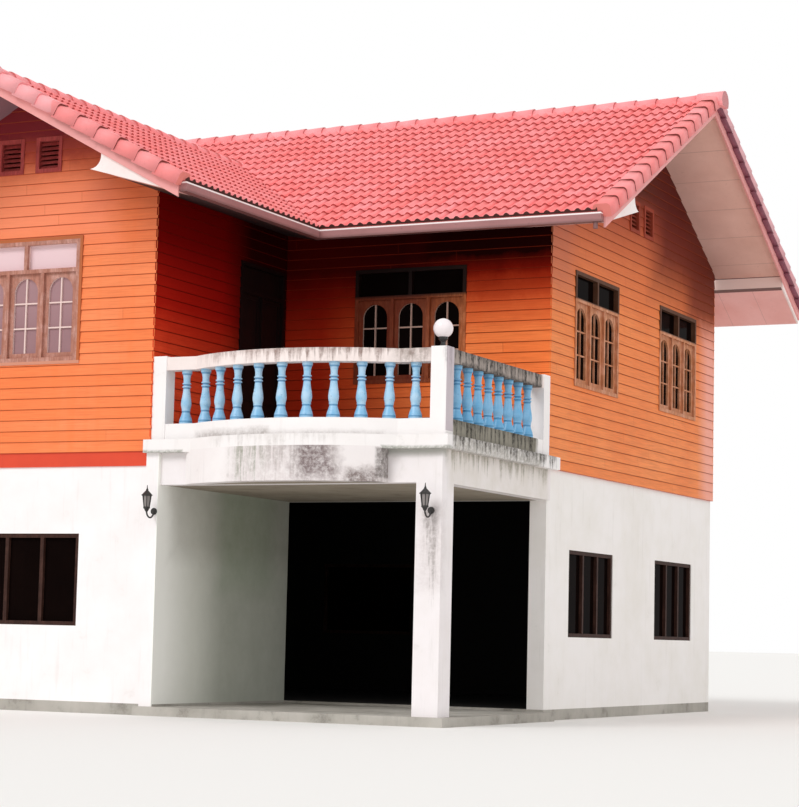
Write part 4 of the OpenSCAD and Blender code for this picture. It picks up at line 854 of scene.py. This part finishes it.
wingWidth, wingDepth = house["inner"] - house["left"], house["recess"] - house["front"]
mainWidth, mainDepth = house["right"] - house["inner"], house["back"] - house["recess"]
wholeWidth, wholeDepth = wingWidth + mainWidth, wingDepth + mainDepth
wide = windowSize["width"]
sideGap, backGap = (mainDepth - 2 * wide) / 4, (wholeWidth - 2 * wide) / 4
leftGap = (wholeDepth - 3 * wide) / 6
sideShift = sideGap * 0.05  # the right wall's windows stand nearer to its front corner
leftGableTop = [  # the main gable, then the flat eave along the wing
    *(underSoffit(u, mainDepth / 2, mainRun) for u in (-cutting["beyond"], mainDepth / 2, mainDepth)),
    (mainDepth, house["boxTop"]), (wholeDepth + cutting["beyond"], house["boxTop"]),
    (wholeDepth + cutting["beyond"], cutting["top"]), (-cutting["beyond"], cutting["top"]),
]
corner = siding["cornerRun"]
walls = {
    "frontGableBoards": {
        "place": (house["left"], house["front"]), "turn": 0, "from": -corner, "to": wingWidth + corner,
        "foot": house["timber"], "finish": frontBoards,
        "cuts": [
            aboveGable(wingWidth / 2, wingRun), windowHole((wingWidth - wide) / 2, windowSize["casing"]),
            *ventHoles(wingWidth / 2)],
    },
    "balconySideBoards": {
        "place": (house["inner"], house["front"]), "turn": 90, "from": -corner, "to": wingDepth,
        "foot": house["deck"], "finish": balconySideBoards,
        "cuts": [aboveBox(wingDepth), rect(*doorHole.values())],
    },
    "balconyBackBoards": {
        "place": (house["inner"], house["recess"]), "turn": 0, "from": 0, "to": mainWidth + corner,
        "foot": house["deck"], "finish": balconyBackBoards,
        "cuts": [aboveBox(mainWidth), windowHole(windowSize["balconyStart"])],
    },
    "rightGableBoards": {
        "place": (house["right"], house["recess"]), "turn": 90, "from": -corner, "to": mainDepth + corner,
        "foot": house["timber"], "finish": sideBoards,
        "cuts": [
            aboveGable(mainDepth / 2, mainRun), windowHole(sideGap - sideShift),
            windowHole(3 * sideGap + wide - sideShift), *ventHoles(mainDepth / 2)],
    },
    "backBoards": {
        "place": (house["right"], house["back"]), "turn": 180, "from": -corner, "to": wholeWidth + corner,
        "foot": house["timber"], "finish": backBoards,
        "cuts": [aboveBox(wholeWidth), windowHole(backGap), windowHole(3 * backGap + wide)],
    },
    "leftGableBoards": {
        "place": (house["left"], house["back"]), "turn": 270, "from": -corner, "to": wholeDepth + corner,
        "foot": house["timber"], "finish": sideBoards,
        "cuts": [
            leftGableTop, windowHole(leftGap), windowHole(3 * leftGap + wide),
            windowHole(5 * leftGap + 2 * wide), *ventHoles(mainDepth / 2)],
    },
}
exposure, top = siding["exposure"], siding["exposure"] - siding["gap"]
bed, gap, low, high = siding["bed"], siding["gap"], siding["lowerEdge"], siding["upperEdge"]
boardBlank = meshPiece("boardBlank", [
    (0, bed, gap), (1, bed, gap), (1, -low, gap), (0, -low, gap),
    (0, bed, top), (1, bed, top), (1, -high, top), (0, -high, top),
], [(0, 1, 2, 3), (7, 6, 5, 4), (3, 2, 6, 7), (1, 0, 4, 5), (0, 3, 7, 4), (2, 1, 5, 6)])
boardTree = sidingTree()
for name, wall in walls.items():
    cutter = cutterPiece(wall["cuts"])
    cutter.data.transform(Matrix.Translation((-wall["from"], 0, -wall["foot"])))
    turn = math.radians(wall["turn"])
    start = Vector((math.cos(turn), math.sin(turn), 0)) * wall["from"]
    boards = growPiece(name, boardTree, {
        "Board": boardBlank, "Rows": math.ceil((siding["top"] - wall["foot"]) / exposure),
        "Exposure": exposure, "Length": wall["to"] - wall["from"], "Cutter": cutter,
        "Place": (wall["place"][0] + start.x, wall["place"][1] + start.y, wall["foot"]),
        "Turn": turn, "Finish": wall["finish"],
    })
    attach(boards, "root")
    dropObjects(cutter)
    print(name, len(boards.data.polygons), "faces")
dropObjects(boardBlank)


# Roof tiles, ridge and verge caps, laid by one tree

roofing = {
    "mainGrid": (36, 16), "wingGrid": (23, 11), "mainCaps": 15, "wingCaps": 10,  # columns and rows
    "tileCover": 0.2998, "rollHeight": 0.034, "panWidth": 0.05, "lift": 0.024, "headLap": 0.03,
    "face": 0.002, "bed": -0.004, "capLap": 0.04, "capLift": 0.026, "crooked": 0.35, "capCrooked": 0.8,
}


def roofRowsTree():
    tree, put, out = startTree("roofRows", {
        "Blank": "Object", "Columns": "Int", "Rows": "Int", "Cover": "Float", "Course": "Float",
        "Place": "Vector", "Slope": "Float", "Turn": "Float", "Crooked": "Float", "Seed": "Int",
        "Finish": "Material",
    })
    across = addNode(tree, "Math SUBTRACT", (put["Columns"], 1))[0]
    across = addNode(tree, "Math MULTIPLY", (across, put["Cover"]))[0]
    upward = addNode(tree, "Math SUBTRACT", (put["Rows"], 1))[0]
    upward = addNode(tree, "Math MULTIPLY", (upward, put["Course"]))[0]
    grid = addNode(tree, "GeometryNodeMeshGrid", {
        "Size X": across, "Size Y": upward, "Vertices X": put["Columns"], "Vertices Y": put["Rows"]})[0]
    half = addNode(tree, "CombineXYZ", (across, upward))[0]
    half = addNode(tree, "VectorMath SCALE", {0: half, "Scale": 0.5})[0]
    grid = addNode(tree, "GeometryNodeTransform", {0: grid, "Translation": half})[0]
    blank = addNode(tree, "GeometryNodeObjectInfo", {"Object": put["Blank"]})["Geometry"]
    most = addNode(tree, "Math RADIANS", (put["Crooked"],))[0]
    least = addNode(tree, "Math MULTIPLY", (most, -1))[0]
    wobble = addNode(tree, "FunctionNodeRandomValue", {
        "Min": least, "Max": most, "Seed": put["Seed"]}, data_type="FLOAT_VECTOR")[0]
    rows = addNode(tree, "GeometryNodeInstanceOnPoints", {
        "Points": grid, "Instance": blank, "Rotation": wobble})[0]
    later = addNode(tree, "Math ADD", (put["Seed"], 7))[0]
    tone = addNode(tree, "FunctionNodeRandomValue", {"Seed": later}, data_type="FLOAT")[1]
    rows = addNode(tree, "GeometryNodeStoreNamedAttribute", {
        0: rows, "Name": "pieceTone", "Value": tone}, data_type="FLOAT", domain="INSTANCE")[0]
    rows = addNode(tree, "GeometryNodeRealizeInstances", (rows,))[0]
    turn = addNode(tree, "CombineXYZ", {"X": put["Slope"], "Z": put["Turn"]})[0]
    rows = addNode(tree, "GeometryNodeTransform", {0: rows, "Translation": put["Place"], "Rotation": turn})[0]
    rows = addNode(tree, "GeometryNodeSetMaterial", {0: rows, "Material": put["Finish"]})[0]
    tree.links.new(rows, out[0])
    return tree


def loftBlank(name, foot, head, length):
    # a closed body between a foot and a head outline, its foot face marked for the painted shade of the butt
    # end
    n = len(foot)
    vertices = [(x, 0, z) for x, z in foot] + [(x, length, z) for x, z in head]
    faces = [tuple(range(n)), tuple(range(2 * n - 1, n - 1, -1))]
    faces += [((i + 1) % n, i, n + i, n + (i + 1) % n) for i in range(n)]
    piece = meshPiece(name, vertices, faces)
    butt = piece.data.attributes.new("buttEnd", "FLOAT", "FACE")
    for i, face in enumerate(piece.data.polygons):
        butt.data[i].value = 1.0 if i == 0 else 0.0
        face.use_smooth = 2 <= i < n - 1
    return turnOutward(piece)


def tileBlank(course):
    # double-roll tile: a flat pan and a half-round roll, twice
    r, steps = roofing, 5
    edge, period = r["tileCover"] / 2, r["tileCover"] / 2
    line = []
    for i in range(2):
        start = -edge + i * period
        line += [(start, r["face"]), (start + r["panWidth"], r["face"])]
        for k in range(1, steps):
            x = start + r["panWidth"] + (period - r["panWidth"]) * k / steps
            line.append((x, r["face"] + r["rollHeight"] * math.sin(math.pi * k / steps)))
    line.append((edge, r["face"]))
    line.reverse()  # from right to left, then back along the bed
    foot = [(x, z + r["lift"]) for x, z in line] + [(-edge, r["bed"]), (edge, r["bed"])]
    head = line + [(-edge, r["bed"]), (edge, r["bed"])]
    return loftBlank("tileBlank", foot, head, course + r["headLap"])


def arcLine(cx, cz, radius, first, last, count):
    angles = [math.radians(first + (last - first) * i / count) for i in range(count + 1)]
    return [(cx + radius * math.cos(a), cz + radius * math.sin(a)) for a in angles]


def vergeBlank(course, side):
    # rounded cap over the edge tiles with a skirt over the barge board
    outer, inner = arcLine(0.063, 0.042, 0.058, 0, 90, 5), arcLine(-0.075, 0.042, 0.058, 90, 180, 5)
    outline = [(0.033, -0.088), (0.12, -0.088), *outer, *inner, (-0.133, -0.01)]
    lift = roofing["capLift"]
    foot = [(side * x, z) for x, z in outline]
    head = [(side * (x * 0.95 - 0.004), z - lift * (1 if x > -0.03 else 0.4)) for x, z in outline]
    piece = loftBlank("vergeBlank", foot, head, course + roofing["capLap"])
    piece.data.attributes["buttEnd"].data[2].value = 0.8  # the underside over the barge board, marked for painted shade
    return piece


def ridgeBlank(course):
    radius, skirt = ridge["radius"], ridge["skirt"]
    outline = [(radius, -skirt)] + arcLine(0, 0, radius, 0, 180, 12) + [(-radius, -skirt)]
    head = [(x * ridge["taper"], z * ridge["taper"] - 0.004) for x, z in outline]
    return loftBlank("ridgeBlank", outline, head, course + roofing["capLap"])


def cutAway(piece, *cuts):
    # removes what lies in front of each plane and closes the cut
    tidy = bmesh.new()
    tidy.from_mesh(piece.data)
    for point, normal in cuts:
        made = bmesh.ops.bisect_plane(
            tidy, geom=tidy.verts[:] + tidy.edges[:] + tidy.faces[:], plane_co=point, plane_no=normal,
            clear_outer=True, dist=1e-6)
        edges = [item for item in made["geom_cut"] if isinstance(item, bmesh.types.BMEdge)]
        bmesh.ops.holes_fill(tidy, edges=edges, sides=0)
    tidy.to_mesh(piece.data)
    tidy.free()
    return piece


rowsTree = roofRowsTree()


def layRows(name, blank, counts, course, place, turn, finish, seed,
            crooked=roofing["crooked"], slope=house["pitch"], height=house["eave"]):
    return growPiece(name, rowsTree, {
        "Blank": blank, "Columns": counts[0], "Rows": counts[1], "Cover": roofing["tileCover"],
        "Course": course, "Place": (place[0], place[1], height), "Slope": slope,
        "Turn": math.radians(turn), "Crooked": crooked, "Seed": seed, "Finish": finish,
    })


mainGrid, wingGrid = roofing["mainGrid"], roofing["wingGrid"]
mainLength, wingLength = mainRun / math.cos(house["pitch"]), wingRun / math.cos(house["pitch"])
mainCourse, wingCourse = mainLength / mainGrid[1], wingLength / wingGrid[1]
mainTile, wingTile = tileBlank(mainCourse), tileBlank(wingCourse)
backEave = house["back"] + house["eaveOver"]
wingEaveRight, wingEaveLeft = house["inner"] + house["eaveOver"], house["left"] - house["eaveOver"]
halfTile = roofing["tileCover"] / 2
firstTile, lastTile = vergeFront + halfTile, vergeFront + (wingGrid[0] - 0.5) * roofing["tileCover"]
valley = (wingMid, meetLine, 0)
frontRows = (mainTile, mainGrid, mainCourse, (vergeLeft + halfTile, eaveLine), 0, redTiles, 3)
mainFrontTiles = joinPieces("mainFrontTiles", [  # right and left of the wing's ridge, cut to the valleys
    cutAway(layRows("mainFrontRows", *frontRows), ((wingMid, 0, 0), (-side, 0, 0)), (valley, (-side, -1, 0)))
    for side in (1, -1)
])
mainBackTiles = layRows(
    "mainBackTiles", mainTile, mainGrid, mainCourse, (vergeRight - halfTile, backEave), 180, redTiles, 4)
wingRightTiles = cutAway(
    layRows("wingRightTiles", wingTile, wingGrid, wingCourse, (wingEaveRight, firstTile), 90, redTiles, 5),
    (valley, (1, 1, 0)))
wingLeftTiles = cutAway(
    layRows("wingLeftTiles", wingTile, wingGrid, wingCourse, (wingEaveLeft, lastTile), 270, redTiles, 6),
    (valley, (-1, 1, 0)))
for piece in (mainFrontTiles, mainBackTiles, wingRightTiles, wingLeftTiles):
    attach(piece, "root")
    print(piece.name, len(piece.data.polygons), "faces")

mainEdge, wingEdge = (1, roofing["mainCaps"]), (1, roofing["wingCaps"])
mainCap, wingCap = mainLength / mainEdge[1], wingLength / wingEdge[1]
outerMain, innerMain = vergeBlank(mainCap, 1), vergeBlank(mainCap, -1)
outerWing, innerWing = vergeBlank(wingCap, 1), vergeBlank(wingCap, -1)
frontHalf, rearHalf = ((0, mainMid, 0), (0, 1, 0)), ((0, mainMid, 0), (0, -1, 0))
rightHalf, leftHalf = ((wingMid, 0, 0), (-1, 0, 0)), ((wingMid, 0, 0), (1, 0, 0))
vergeRows = [
    (outerMain, mainEdge, mainCap, (vergeRight, eaveLine), 0, redCaps, 11, frontHalf),
    (innerMain, mainEdge, mainCap, (vergeLeft, eaveLine), 0, redCaps, 12, frontHalf),
    (innerWing, wingEdge, wingCap, (wingEaveRight, vergeFront), 90, redCaps, 15, rightHalf),
    (outerWing, wingEdge, wingCap, (wingEaveLeft, vergeFront), 270, redCaps, 16, leftHalf),
    (outerMain, mainEdge, mainCap, (vergeLeft, backEave), 180, rearCaps, 13, rearHalf),
    (innerMain, mainEdge, mainCap, (vergeRight, backEave), 180, rearCaps, 14, rearHalf),
]
vergeCaps = joinPieces("vergeCaps", [
    cutAway(layRows("vergeRow", *row, roofing["capCrooked"]), half) for *row, half in vergeRows
])
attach(vergeCaps, "root")
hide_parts("verge_caps")

ridge = {
    "radius": 0.135, "skirt": 0.035, "taper": 0.86, "course": 0.345, "reach": 0.12, "drop": 0.042,
    "crooked": 0.4, "overlap": 0.25, "endRadius": 0.162, "endTaper": 0.93, "endLength": 0.43,
    "endReach": 0.185,
}
mainRidgeZ = house["eave"] + mainRun * rise - ridge["drop"]
wingRidgeZ = house["eave"] + wingRun * rise - ridge["drop"]
mainRidgeLength = vergeRight - vergeLeft + 2 * ridge["reach"]
wingRidgeLength = meetLine - vergeFront + ridge["reach"] + ridge["overlap"]
mainRidgeRows = round(mainRidgeLength / ridge["course"])
wingRidgeRows = round(wingRidgeLength / ridge["course"])
mainRidgeCourse, wingRidgeCourse = mainRidgeLength / mainRidgeRows, wingRidgeLength / wingRidgeRows
mainRidgeCap, wingRidgeCap = ridgeBlank(mainRidgeCourse), ridgeBlank(wingRidgeCourse)
endArc = arcLine(0, 0, ridge["endRadius"], -32, 212, 20)
endHead = [(x * ridge["endTaper"], z * ridge["endTaper"]) for x, z in endArc]
endCap = loftBlank("endCap", endArc, endHead, ridge["endLength"])
reach, endReach, crooked = ridge["reach"], ridge["endReach"], ridge["crooked"]
ridgeRows = [layRows("ridgeRow", *row) for row in (
    (mainRidgeCap, (1, mainRidgeRows), mainRidgeCourse, (vergeRight + reach, mainMid), 90, ridgeTiles, 21,
     crooked, 0.0, mainRidgeZ),
    (wingRidgeCap, (1, wingRidgeRows), wingRidgeCourse, (wingMid, vergeFront - reach), 0, ridgeTiles, 22,
     crooked, 0.0, wingRidgeZ),
    (endCap, (1, 1), 1.0, (vergeRight + endReach, mainMid), 90, paleCaps, 23, 0.0, 0.0, mainRidgeZ),
    (endCap, (1, 1), 1.0, (vergeLeft - endReach, mainMid), 270, paleCaps, 24, 0.0, 0.0, mainRidgeZ),
    (endCap, (1, 1), 1.0, (wingMid, vergeFront - endReach), 0, paleCaps, 25, 0.0, 0.0, wingRidgeZ),
)]
cutAway(ridgeRows[0], ((vergeLeft - reach, 0, 0), (-1, 0, 0)))
ridgeCaps = joinPieces("ridgeCaps", ridgeRows)
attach(ridgeCaps, "root")
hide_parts("ridge_caps")
dropObjects(
    mainTile, wingTile, outerMain, innerMain, outerWing, innerWing, mainRidgeCap, wingRidgeCap, endCap)
print("roof laid")
